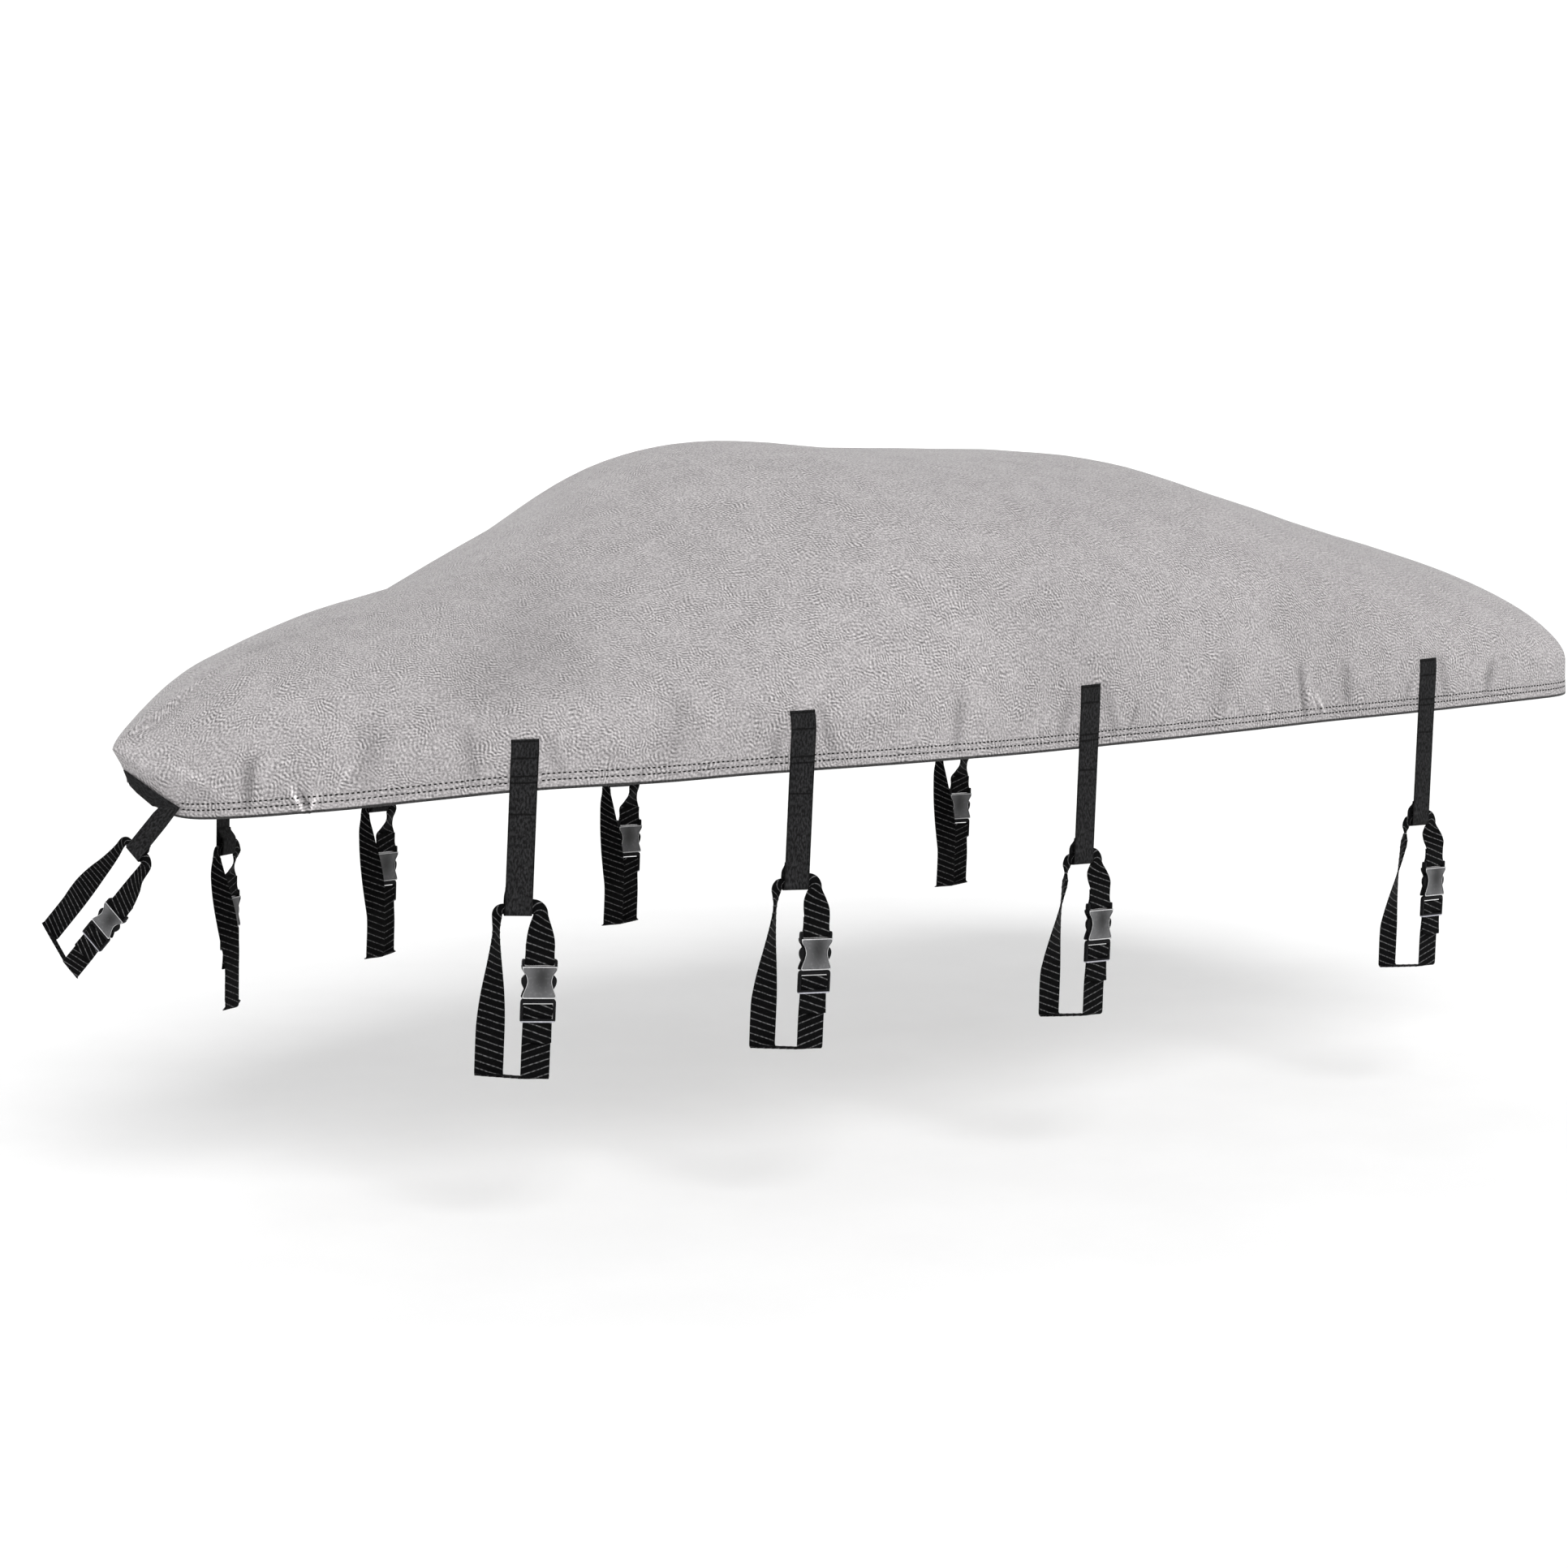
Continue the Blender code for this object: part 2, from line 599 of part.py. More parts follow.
def rail_wrap(shape):
    """Down the rail's inner face, under it and up its outer face to the buckle."""
    bend = RAIL_BEND
    inner_y = RAIL_WIDTH + WEB / 2 + SEAM_GAP
    outer_y = -WEB / 2 - SEAM_GAP
    floor_z = shape.rail_z - RAIL_HEIGHT - WEB / 2 - SEAM_GAP
    found = [flat((shape.back_x, inner_y, floor_z + bend + 0.002), out=(0, 1, 0))]
    corners = ((inner_y - bend, shape.back_x, 0), (outer_y + bend, shape.front_x, 1))
    for corner_y, x, quarter in corners:
        for i in range(4):
            a = math.pi / 2 * (quarter + i / 3)
            place = (x, corner_y + bend * math.cos(a), floor_z + bend - bend * math.sin(a))
            found.append(flat(place, out=(0, math.cos(a), -math.sin(a))))
    found.append(flat((shape.front_x, outer_y, shape.rail_z - 0.01)))
    return found


def through_ladder(shape):
    """Up behind the ladder, over its middle bar, down through the lower slot to the hanging tail."""
    bar_foot, bar_top = BAR_MIDDLE
    found = [
        flat(in_buckle(shape, LAYER, -0.004)),
        flat(in_buckle(shape, LAYER, bar_top - 0.004)),
    ]
    for i in range(6):
        a = math.pi * (i + 0.5) / 6
        place = in_buckle(shape, LAYER - WRAP + WRAP * math.cos(a), bar_top + WRAP * math.sin(a))
        found.append(flat(place, out=(0, -math.cos(a), -math.sin(a))))
    found.append(flat(in_buckle(shape, LAYER - 2 * WRAP, bar_top - 0.004), out=(0, 1, 0)))
    found.append(flat(in_buckle(shape, LAYER - 2 * WRAP, bar_foot), out=(0, 1, 0.15)))
    found.append(flat(in_buckle(shape, 0.0004, BAR_BOTTOM[1]), out=(0, 1, 0.15)))
    found.append(flat(in_buckle(shape, 0.0003, -0.004), out=(0, 1, 0)))
    found.append(flat(in_buckle(shape, -0.0010, -TAIL * 0.6), out=(0, 1, 0)))
    found.append(flat(in_buckle(shape, -0.0030, -TAIL), out=(0, 1, 0)))
    return found


def web_stations(shape):
    """The whole run of the loop's webbing, from its sewn end to its tail, in the loop's frame."""
    parts = strand_over_hold_bar(shape)
    parts += strand(FRONT_STRAND, shape, turn_x(1, TUNNEL_FRONT), shape.front_x)[::-1]
    parts += gathered_turn(1, TUNNEL_FRONT)[::-1] + gathered_turn(-1, TUNNEL_BACK)
    parts += strand(BACK_STRAND, shape, turn_x(-1, TUNNEL_BACK), shape.back_x)
    parts += rail_wrap(shape) + through_ladder(shape)
    return in_step(parts)


def in_step(stations):
    """Turns each station's axes so that neighbours agree, which keeps the strip from crossing itself."""
    kept = [stations[0]]
    for k in range(1, len(stations)):
        centre, across, out = stations[k]
        last_across, last_out = kept[-1][1], kept[-1][2]
        if across.dot(last_across) < 0:
            across = -across
        if out.dot(last_out) < 0:
            out = -out
        kept.append((centre, across, out))
    return kept


def extruded(outline, thick):
    """A closed plate: the outline is (x, z) points, and the thickness runs along y about 0."""
    n = len(outline)
    points = [(x, -thick / 2, z) for x, z in outline] + [(x, thick / 2, z) for x, z in outline]
    faces = [list(range(n)), list(range(2 * n - 1, n - 1, -1))]
    faces += [[i, i + n, (i + 1) % n + n, (i + 1) % n] for i in range(n)]
    return points, faces


def box_cutter(name, low, high):
    shape = bmesh.new()
    bmesh.ops.create_cube(shape, size=1.0)
    mesh = bpy.data.meshes.new(name)
    shape.to_mesh(mesh)
    shape.free()
    cutter = bpy.data.objects.new(name, mesh)
    bpy.context.scene.collection.objects.link(cutter)
    low, high = Vector(low), Vector(high)
    size = high - low
    mesh.transform(Matrix.Translation((low + high) / 2) @ Matrix.Diagonal((*size, 1)))
    return cutter


def cut_mesh(name, points, faces, boxes):
    """A mesh with boxes cut out of it, each given as (lowest corner, highest corner)."""
    source = bpy.data.objects.new(name + "_blank", mesh_from(name, points, faces))
    bpy.context.scene.collection.objects.link(source)
    cutters = []
    for k, (low, high) in enumerate(boxes):
        cutter = box_cutter(f"{name}_cut_{k}", low, high)
        cut = source.modifiers.new(cutter.name, "BOOLEAN")
        cut.operation = "DIFFERENCE"
        cut.object = cutter
        cutters.append(cutter)
    bpy.context.view_layer.update()
    graph = bpy.context.evaluated_depsgraph_get()
    mesh = bpy.data.meshes.new_from_object(source.evaluated_get(graph))
    mesh.name = name
    for helper in [source, *cutters]:
        bpy.data.objects.remove(helper)
    return mesh


def both_halves(half):
    """A closed outline from its right half, listed from the bottom up."""
    return half + [(-x, z) for x, z in reversed(half) if x > 0]


def ladder_mesh():
    """The latch half: a ladder that grips the webbing, with a tongue and two sprung arms above it."""
    wide, rail = BUCKLE_WIDTH / 2, BUCKLE_WIDTH / 2 - RAIL_BAR
    top = LADDER_LENGTH
    right_half = [
        (wide - 0.002, 0.0),
        (wide, 0.004),
        (wide, top - 0.006),
        (wide - 0.004, top),
        (0.034, top),
        (0.036, top + 0.022),
        (0.0445, top + 0.038),
        (0.0450, top + 0.052),
        (0.034, top + 0.064),
        (0.028, top + 0.060),
        (0.026, top + 0.020),
        (0.020, top + 0.006),
        (0.008, top + 0.006),
        (0.006, top + 0.056),
    ]
    points, faces = extruded(both_halves(right_half), LADDER_THICK)
    reach, deep = 0.001, LADDER_THICK
    boxes = [
        ((-rail, -deep, BAR_BOTTOM[1]), (rail, deep, BAR_MIDDLE[0])),
        ((-rail, -deep, BAR_MIDDLE[1]), (rail, deep, BAR_TOP[0])),
        ((-rail, -0.0015, BAR_BOTTOM[0] - reach), (rail, deep, BAR_BOTTOM[1] + reach)),
        ((-rail, -deep, BAR_MIDDLE[0] - reach), (rail, -0.0023, BAR_MIDDLE[1] + reach)),
        ((-rail, 0.0019, BAR_MIDDLE[0] - reach), (rail, deep, BAR_MIDDLE[1] + reach)),
    ]
    return cut_mesh("buckle_latch", points, faces, boxes)


def body_mesh():
    """The socket half: two waisted plates joined at the head, with a bar there that holds the webbing."""
    wide = BUCKLE_WIDTH / 2
    rail = wide - RAIL_BAR
    foot, head = BODY_FOOT, BODY_HEAD
    waist_low, waist_high = foot + 0.028, foot + 0.060
    right_half = [
        (wide - 0.001, foot),
        (wide - 0.003, foot + 0.010),
        (WAIST_HALF + 0.0040, waist_low),
        (WAIST_HALF, (waist_low + waist_high) / 2),
        (WAIST_HALF + 0.0040, waist_high),
        (wide, foot + 0.074),
        (wide, head - 0.003),
        (wide - 0.003, head),
    ]
    points, faces = extruded(both_halves(right_half), BUCKLE_THICK)
    cavity = LADDER_THICK / 2 + 0.0004
    deep, past = BUCKLE_THICK, 0.01
    slot_foot = head - HOLD_SLOT
    boxes = [
        ((-wide - past, -cavity, foot - past), (wide + past, cavity, slot_foot - 0.010)),
        ((-rail, -deep, slot_foot), (rail, deep, head - HOLD_BAR)),
        ((-rail, -deep, head - HOLD_BAR - 0.001), (rail, -HOLD_THICK / 2, head + past)),
        ((-rail, HOLD_THICK / 2, head - HOLD_BAR - 0.001), (rail, deep, head + past)),
        ((-wide - past, -deep, slot_foot), (wide + past, -0.0065, head + past)),
        ((-wide - past, 0.0065, slot_foot), (wide + past, deep, head + past)),
    ]
    return cut_mesh("buckle_body", points, faces, boxes)


def make_loop(name, place, side, web_mesh, shape, buckle, finishes):
    """One webbing loop with its buckle, hung in a strap's end. place has x along the strap's width."""
    web = object_from("web_" + name, web_mesh, finishes["webbing"])
    web.matrix_world = place
    face_out = Matrix.Rotation(math.pi if side > 0 else 0.0, 4, "Z")
    seat = Matrix.Translation((shape.front_x, -side * BUCKLE_Y, shape.foot)) @ face_out
    for kind, mesh in buckle:
        made = object_from(kind + name, mesh, finishes["plastic"])
        made.matrix_world = place @ seat


def frame_at(place, x_axis, y_axis, z_axis, scale=1.0):
    turn = Matrix((x_axis, y_axis, z_axis)).transposed().to_4x4()
    return Matrix.Translation(place) @ turn @ Matrix.Scale(scale, 4)


def main():
    for found in list(bpy.data.objects):
        bpy.data.objects.remove(found)
    finishes = make_materials()
    make_shell(finishes["cloth"])
    buckle = (("latch_", ladder_mesh()), ("socket_", body_mesh()))
    stations = web_stations(SIDE_LOOP)
    other_side = Matrix.Diagonal((1, -1, 1))
    mirrored = [tuple(other_side @ axis for axis in station_axes) for station_axes in stations]
    webs = {-1.0: ribbon("web_port", stations), 1.0: ribbon("web_starboard", mirrored)}
    bow_web = ribbon("web_bow", web_stations(BOW_LOOP))
    for side_name, side in SIDES:
        for number, (x, rise, drop) in enumerate(STRAPS, 1):
            name = f"{side_name}_{number}"
            hung = make_side_strap("strap_" + name, side, x, rise, drop, finishes["webbing"])
            place = frame_at(*hung)
            make_loop(name, place, side, webs[side], SIDE_LOOP, buckle, finishes)
    place = frame_at(*make_bow_strap(finishes["webbing"]), BOW_SCALE)
    make_loop("bow", place, -1.0, bow_web, BOW_LOOP, buckle, finishes)


main()
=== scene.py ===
"""A fitted boat cover on its own, as it sits over a small runabout: one taut grey cloth shell with a
double-stitched hem, webbing straps sewn down its sides and round its nose, and a buckled webbing loop
through the end of each strap.

Metres, +Z up. The bow points along -X and port is -Y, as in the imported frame.
"""

import math
from typing import NamedTuple

import bmesh
import bpy
import numpy as np
from bpy.props import FloatProperty, FloatVectorProperty, PointerProperty
from mathutils import Matrix, Vector, noise


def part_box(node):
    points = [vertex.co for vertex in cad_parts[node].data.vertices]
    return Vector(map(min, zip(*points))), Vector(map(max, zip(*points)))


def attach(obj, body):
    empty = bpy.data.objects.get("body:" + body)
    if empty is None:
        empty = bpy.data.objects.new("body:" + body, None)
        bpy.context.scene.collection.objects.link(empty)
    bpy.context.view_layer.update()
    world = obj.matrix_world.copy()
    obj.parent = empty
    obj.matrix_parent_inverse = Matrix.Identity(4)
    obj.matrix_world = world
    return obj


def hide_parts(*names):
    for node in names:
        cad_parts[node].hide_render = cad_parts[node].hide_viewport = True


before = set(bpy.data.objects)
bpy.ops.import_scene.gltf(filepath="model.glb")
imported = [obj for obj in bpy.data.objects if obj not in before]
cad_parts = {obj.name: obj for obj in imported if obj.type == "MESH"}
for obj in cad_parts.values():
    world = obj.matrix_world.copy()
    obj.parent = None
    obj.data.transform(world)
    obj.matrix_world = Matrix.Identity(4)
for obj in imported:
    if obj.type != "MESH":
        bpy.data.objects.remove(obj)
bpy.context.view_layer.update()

bl_info = {
    "name": "Boat Cover",
    "version": (1, 0, 0),
    "blender": (4, 5, 0),
    "location": "View3D > Sidebar > Boat Cover",
    "description": "Dresses the boat cover's frame with cloth, webbing, buckles and stitching",
    "category": "Add Mesh",
}

PORT, STARBOARD = -1.0, 1.0
SIDES = (("port", PORT), ("starboard", STARBOARD))
UP = Vector((0, 0, 1))

# ---------------------------------------------------------------- the shell, as the frame has it
BOW_X, STERN_X = (float(corner[0]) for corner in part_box("cover"))
CLOTH = 0.003
HEM_CLOTH = 0.0045
SEAM_GAP = 0.0006
NOSE_REACH, NOSE_POWER = 0.42, 1.9
TRANSOM_REACH, TRANSOM_POWER = 0.36, 2.7
NOSE_LIFT = 0.085
NOSE_LIFT_REACH = {PORT: 0.095, STARBOARD: 0.35}
NOSE_TUCK, NOSE_TUCK_REACH = 0.050, 0.24
RIDGE_INSET_BOW, RIDGE_INSET_STERN = 0.46, 0.63
RIDGE_SPREAD = 0.22  # share of the ridge's spacing that follows the perimeter and not x


class Station(NamedTuple):
    """A cross-section. skirt is the height of the upright cloth, and fullness is 2 for an ellipse."""

    x: float
    half_beam: float
    hem_z: float
    skirt: float
    ridge_z: float
    fullness: float


STATIONS = (
    Station(-1.95, 0.14, -0.853, 0.090, -0.558, 1.65),
    Station(-1.84, 0.249, -0.846, 0.093, -0.532, 1.60),
    Station(-1.62, 0.412, -0.819, 0.100, -0.475, 1.65),
    Station(-1.40, 0.555, -0.796, 0.105, -0.422, 1.75),
    Station(-1.20, 0.66, -0.780, 0.105, -0.375, 1.80),
    Station(-0.85, 0.82, -0.771, 0.105, -0.296, 1.65),
    Station(-0.45, 0.93, -0.765, 0.105, -0.141, 1.70),
    Station(-0.05, 0.98, -0.771, 0.105, -0.003, 2.10),
    Station(0.45, 1.00, -0.780, 0.105, -0.023, 2.40),
    Station(0.90, 1.00, -0.784, 0.105, -0.048, 2.40),
    Station(1.25, 1.00, -0.787, 0.105, -0.074, 2.40),
    Station(1.55, 1.00, -0.790, 0.105, -0.159, 2.40),
    Station(1.95, 0.99, -0.795, 0.105, -0.275, 2.35),
    Station(2.35, 0.98, -0.799, 0.105, -0.382, 2.10),
    Station(2.755, 0.96, -0.803, 0.100, -0.515, 1.55),
)


class Fold(NamedTuple):
    """A soft trough in the cloth. at is its place along the hem from the nose, port positive and
    starboard negative. rise is where along the arc it is deepest, and lean is how far it drifts aft as
    that grows."""

    at: float
    lean: float
    half_width: float
    rise: float
    half_rise: float
    depth: float


FOLDS = (
    Fold(1.05, 0.50, 0.22, 0.42, 0.30, 0.030),
    Fold(1.62, 0.10, 0.16, 0.05, 0.14, 0.010),
    Fold(2.75, -0.20, 0.24, 0.10, 0.20, 0.012),
    Fold(3.70, 0.15, 0.26, 0.12, 0.22, 0.014),
    Fold(-1.12, 0.50, 0.24, 0.40, 0.30, 0.028),
    Fold(-2.20, 0.15, 0.22, 0.10, 0.20, 0.012),
    Fold(-3.35, -0.10, 0.28, 0.12, 0.22, 0.013),
)

# ---------------------------------------------------------------- the cloth, finer than the frame
PLAN_STEPS = 3000
NEAR = 0.01  # the step either way that gives the hem's direction at a place
RELIEF = "relief"  # the cloth's attribute that says how far its creases lift it, for painted shade
HOLLOW_SHARE = 0.07  # share of a broad fold's depth that counts as relief, and so as painted shade
COLUMNS = 490
# How much closer together the columns are: at creases up to each half width, and round the nose.
COLUMN_CROWDING = ((0.028, 1.4), (0.0095, 5.0))
CROWDED_REACH = 1.6  # half widths of a crease
NOSE_CROWDING, NOSE_CROWDED = 1.6, 0.16
SKIRT_ROWS = (0, 0.03, 0.10, 0.17, 0.205, 0.24, 0.275, 0.32)
SKIRT_ROWS += (0.35, 0.385, 0.42, 0.48, 0.57, 0.70, 0.85, 1)
ARC_ROWS = 34
ARC_CROWDING = 1.15  # over 1 brings the rows above the skirt closer together low down
HEM_SHARE = 0.47  # share of the skirt's height up to which the cloth is double

# The hem's two rows of stitching: heights above its edge, and the stitches' own sizes.
STITCH_ROWS = (0.0245, 0.0405)
STITCH_HEIGHT = 0.0016
STITCH_SINK = 0.0002  # how deep the thread lies in the cloth
STITCH_GROOVE = 0.0009
STITCH_GROOVE_HALF = 0.0042
HEM_BULGE = 0.0009  # of the double cloth between and below the stitching
BULGE_REACH, EDGE_BULGE_REACH = 0.40, 0.42  # shares of the height between the rows, and below them
PUCKER = 0.0005
PUCKER_WAVE, PUCKER_BEAT = 0.046, 2.7
UNDER_STRAP = 0.25  # share of the hem's relief that is left where a strap holds it
LINING_CRINKLE = 0.4  # of the outer face's


class Crease(NamedTuple):
    """A pinched line in the cloth. at is its place along the hem, signed as in FOLDS; it runs from foot
    to top, both heights up the cloth from the hem's edge, and drifts aft by lean on the way."""

    at: float
    lean: float
    foot: float
    top: float
    half_width: float
    depth: float


CREASES = (
    # port, from the nose aft
    Crease(0.330, -0.190, 0.045, 0.150, 0.015, -0.0048),
    Crease(0.345, 0.008, 0.010, 0.165, 0.015, 0.0072),
    Crease(0.497, -0.046, -0.012, 0.076, 0.0090, -0.0098),
    Crease(0.500, 0.020, -0.012, 0.046, 0.0080, -0.0084),
    Crease(0.513, -0.046, -0.006, 0.066, 0.0080, 0.0062),
    Crease(0.565, 0.048, 0.040, 0.120, 0.0085, -0.0040),
    Crease(0.640, 0.030, 0.030, 0.230, 0.042, 0.0026),
    Crease(0.915, -0.020, 0.020, 0.190, 0.026, 0.0030),
    Crease(1.140, -0.050, 0.015, 0.160, 0.020, 0.0026),
    Crease(1.320, 0.032, -0.010, 0.050, 0.0070, 0.0032),
    Crease(1.420, 0.050, 0.030, 0.260, 0.050, 0.0018),
    Crease(1.690, 0.050, 0.000, 0.150, 0.018, 0.0028),
    Crease(1.880, -0.045, 0.010, 0.200, 0.022, 0.0030),
    Crease(2.270, 0.016, 0.010, 0.190, 0.022, 0.0040),
    Crease(2.630, 0.060, 0.005, 0.170, 0.020, 0.0028),
    Crease(2.860, -0.060, 0.005, 0.190, 0.020, 0.0028),
    Crease(2.900, 0.034, 0.030, 0.115, 0.0085, 0.0034),
    Crease(3.250, 0.040, 0.030, 0.240, 0.050, 0.0016),
    Crease(3.465, -0.038, 0.015, 0.085, 0.0090, -0.0044),
    Crease(3.610, -0.024, 0.005, 0.175, 0.0135, 0.0092),
    Crease(3.662, -0.058, 0.030, 0.112, 0.0090, -0.0086),
    Crease(3.677, -0.057, 0.020, 0.100, 0.0085, 0.0056),
    Crease(3.695, -0.056, 0.012, 0.092, 0.0095, -0.0082),
    Crease(3.790, -0.020, 0.030, 0.180, 0.024, 0.0034),
    Crease(4.020, 0.050, 0.000, 0.140, 0.020, 0.0028),
    Crease(4.220, -0.050, 0.005, 0.180, 0.022, 0.0030),
    Crease(4.390, 0.040, 0.020, 0.150, 0.022, 0.0038),
    Crease(4.840, 0.060, 0.010, 0.260, 0.045, 0.0050),
    Crease(5.060, -0.020, 0.000, 0.220, 0.030, 0.0046),
    Crease(5.420, 0.020, 0.000, 0.180, 0.030, 0.0032),
    # starboard, from the nose aft
    Crease(-0.260, 0.020, 0.000, 0.170, 0.030, 0.0052),
    Crease(-0.480, -0.02, 0.010, 0.160, 0.022, 0.0040),
    Crease(-0.760, 0.030, 0.020, 0.230, 0.040, 0.0048),
    Crease(-1.160, -0.05, 0.010, 0.160, 0.020, 0.0028),
    Crease(-1.480, 0.020, 0.020, 0.240, 0.040, 0.0042),
    Crease(-1.880, -0.05, 0.005, 0.180, 0.022, 0.0030),
    Crease(-2.240, 0.030, 0.030, 0.220, 0.030, 0.0046),
    Crease(-2.640, 0.050, 0.005, 0.170, 0.020, 0.0028),
    Crease(-3.120, 0.020, 0.010, 0.230, 0.030, 0.0064),
    Crease(-3.480, -0.03, 0.020, 0.200, 0.026, 0.0048),
    Crease(-4.010, 0.050, 0.005, 0.160, 0.020, 0.0028),
    Crease(-4.300, -0.04, 0.010, 0.210, 0.028, 0.0044),
    Crease(-4.880, 0.050, 0.010, 0.250, 0.045, 0.0050),
    Crease(-5.080, -0.03, 0.000, 0.200, 0.030, 0.0046),
    Crease(-5.540, 0.020, 0.000, 0.170, 0.028, 0.0034),
)
CREASE_FLANK, FLANK_REACH = 0.42, 1.9  # the cloth stands up beside a crease: shares of depth and width
CREASE_SPREAD = (0.75, 0.60)  # a crease's width at its foot, and how much it gains by its top
CREASE_SHARPNESS, CREASE_ENDS = 1.7, 0.8

# The cloth's slight unevenness between folds: the size of the waves and how far they lift it.
UNEVEN = ((0.42, 0.0034), (0.17, 0.0014), (0.06, 0.00045))


class Hold(NamedTuple):
    """Where a strap holds the cloth flat: this far either side of its middle and up to top. power says
    how suddenly that ends along the hem, and fade over what height it ends above."""

    reach: float
    power: int
    top: float
    fade: float

    def on(self, off, girth):
        """1 where the cloth is held flat, off being the distance from the strap's middle."""
        return np.exp(-((off / self.reach) ** self.power)) / (1 + np.exp((girth - self.top) / self.fade))


STRAP_HOLD = Hold(0.056, 6, 0.22, 0.02)
BOW_STRAP_HOLD = Hold(0.165, 8, 0.075, 0.006)

# ---------------------------------------------------------------- straps and loops
WEB = 0.003
STRAP_WIDTH = 0.071
STRAP_PANEL = 0.090
STRAP_LEAN = 0.015
STRAP_SLANT = 0.055  # how far aft a sewn strap drifts for each metre up the cloth
END_LOOP_RADIUS = 0.0095
END_LOOP_HEIGHT = 0.072
LOOP_STRAIGHT, LOOP_CLOSED = 0.62, 0.90
LOOP_EASE, LOOP_EASE_TURN = 0.001, 0.12
LOOP_TURN_STEPS = 8


class SideStrap(NamedTuple):
    """rise goes from the hem's edge up to the strap's sewn end, and drop down to its loop."""

    x: float
    rise: float
    drop: float


STRAPS = (
    SideStrap(-1.185, 0.130, 0.313),
    SideStrap(-0.486, 0.155, 0.305),
    SideStrap(0.473, 0.170, 0.314),
    SideStrap(1.845, 0.154, 0.330),
)
HANGING_SHARES = (0.92, 0.75, 0.5, 0.3)
STRAP_SEATS = 12  # stations of a side strap on the cloth
BOW_STRAP_WIDTH = 0.050
BOW_STRAP_DROP = 0.175
BOW_STRAP_LEAN = math.radians(43)
BOW_MITRE, BOW_MITRE_SLOPE = 0.064, 0.05
BOW_CORNER = 0.135  # along the hem from the nose
BOW_CORNER_STEPS = 3
BOW_STANDOFF = 0.0025
BOW_HANGING = (0.045, 0.090, 0.125)
BOW_SCALE = 0.80
BOW_END_LOOP_RADIUS = 0.0083

# The hem's stitching leaves the straps out: this far either side of a side strap's middle, and up to
# here from the nose on the bow strap's side.
UNSTITCHED_HALF = STRAP_WIDTH / 2 + 0.003
BOW_STITCHING_START = BOW_CORNER + BOW_STRAP_WIDTH / 2 + 0.008


class LoopShape(NamedTuple):
    """front_x and back_x are the strands' sideways places, the front one being the buckle's; rail_z is
    the upper face of the rail that the loop goes round; foot is the height of the buckle's lower end."""

    front_x: float
    back_x: float
    rail_z: float
    foot: float


SIDE_LOOP = LoopShape(0.057, -0.050, -0.312, -0.268)
BOW_LOOP = LoopShape(0.083, -0.075, -0.350, -0.315)
RAIL_WIDTH, RAIL_HEIGHT, RAIL_BEND = 0.056, 0.100, 0.008
RAIL_LEAD, RAIL_LEAVE = 0.002, 0.010  # how far above its bends the webbing is held, inside and outside
TUNNEL_FOOT = WEB / 2 + 0.0021
TUNNEL_BACK = (0.026, 0.0080)  # width and thickness
TUNNEL_FRONT = (0.038, 0.0058)
TUNNEL_TURN = 0.002
TUNNEL_END = STRAP_WIDTH / 2 + 0.002
LOOP_WIDTH = 0.074


class Hang(NamedTuple):
    """A station of a hanging strand. down is a share of the way to the rail, and sideways is 0 where the
    gathered turn ends and 1 at the strand's own place. twist is in degrees."""

    down: float
    y: float
    sideways: float
    width: float
    thick: float
    twist: float


BACK_STRAND = (
    Hang(0.128, 0.0130, 0.0, 0.036, 0.0070, 58),
    Hang(0.272, 0.0210, 0.2, 0.048, 0.0050, 50),
    Hang(0.449, 0.0330, 0.6, 0.060, 0.0036, 37),
    Hang(0.641, 0.0450, 0.9, 0.069, 0.0030, 22),
    Hang(0.817, 0.0535, 1.0, 0.073, 0.0030, 9),
    Hang(0.962, 0.0580, 1.0, 0.074, 0.0030, 0),
)
FRONT_STRAND = (
    Hang(0.083, 0.0040, 0.2, 0.058, 0.0044, -26),
    Hang(0.154, -0.0050, 0.6, 0.068, 0.0036, -17),
)

# A buckle's own axes: x across it, y inboard and z up from the foot of its ladder.
BUCKLE_WIDTH, BUCKLE_THICK, BUCKLE_Y = 0.090, 0.020, -0.0092
LADDER_LENGTH, LADDER_THICK = 0.060, 0.010
BODY_LENGTH = 0.100
RAIL_BAR = 0.0065
WAIST_HALF = 0.0305
BAR_BOTTOM, BAR_MIDDLE, BAR_TOP = (0.0, 0.009), (0.024, 0.0405), (0.049, 0.060)
LOWER_BAR_BACK = -0.0015
MIDDLE_BAR_FACES = (-0.0023, 0.0019)
LAYER, WRAP, TAIL = 0.0039, 0.00415, 0.052
BAR_LEAD = 0.004  # how far short of a bar's edge the webbing starts to bend
BODY_FOOT = LADDER_LENGTH + 0.0012
BODY_HEAD = BODY_FOOT + BODY_LENGTH
HOLD_BAR, HOLD_SLOT, HOLD_THICK = 0.010, 0.018, 0.0052
SEWN_FOOT, SEWN_LENGTH = 0.012, 0.038
HOLD_BEND = HOLD_THICK / 2 + 0.0004 + WEB / 2
CAVITY_HALF = LADDER_THICK / 2 + 0.0004
CAVITY_BRIDGE = 0.010  # of solid plastic between the cavity and the webbing's slot
HEAD_HALF = 0.0065
CORNER_CUT = 0.003  # how far from a corner of a buckle's outline it is rounded off
LATCH_EDGE = 0.6  # share of the edges' radius that the thinner latch has
PLASTIC_ROUGHNESS = 0.40
FACE_DEPTH = 0.0013  # how far the socket's faces are let in
SHADE_MIDDLE, SHADE_REACH = (0.006, BODY_FOOT + 0.055), (0.034, 0.058)  # the middle and reach of such a face's painted shade
LATCH_LIP = 0.0036  # height of the latch's lower edge that takes a painted highlight
FACE_SLOT, RIM_SLOT = 1, 2  # of a buckle's materials, the let-in faces' and the edges' painted highlight
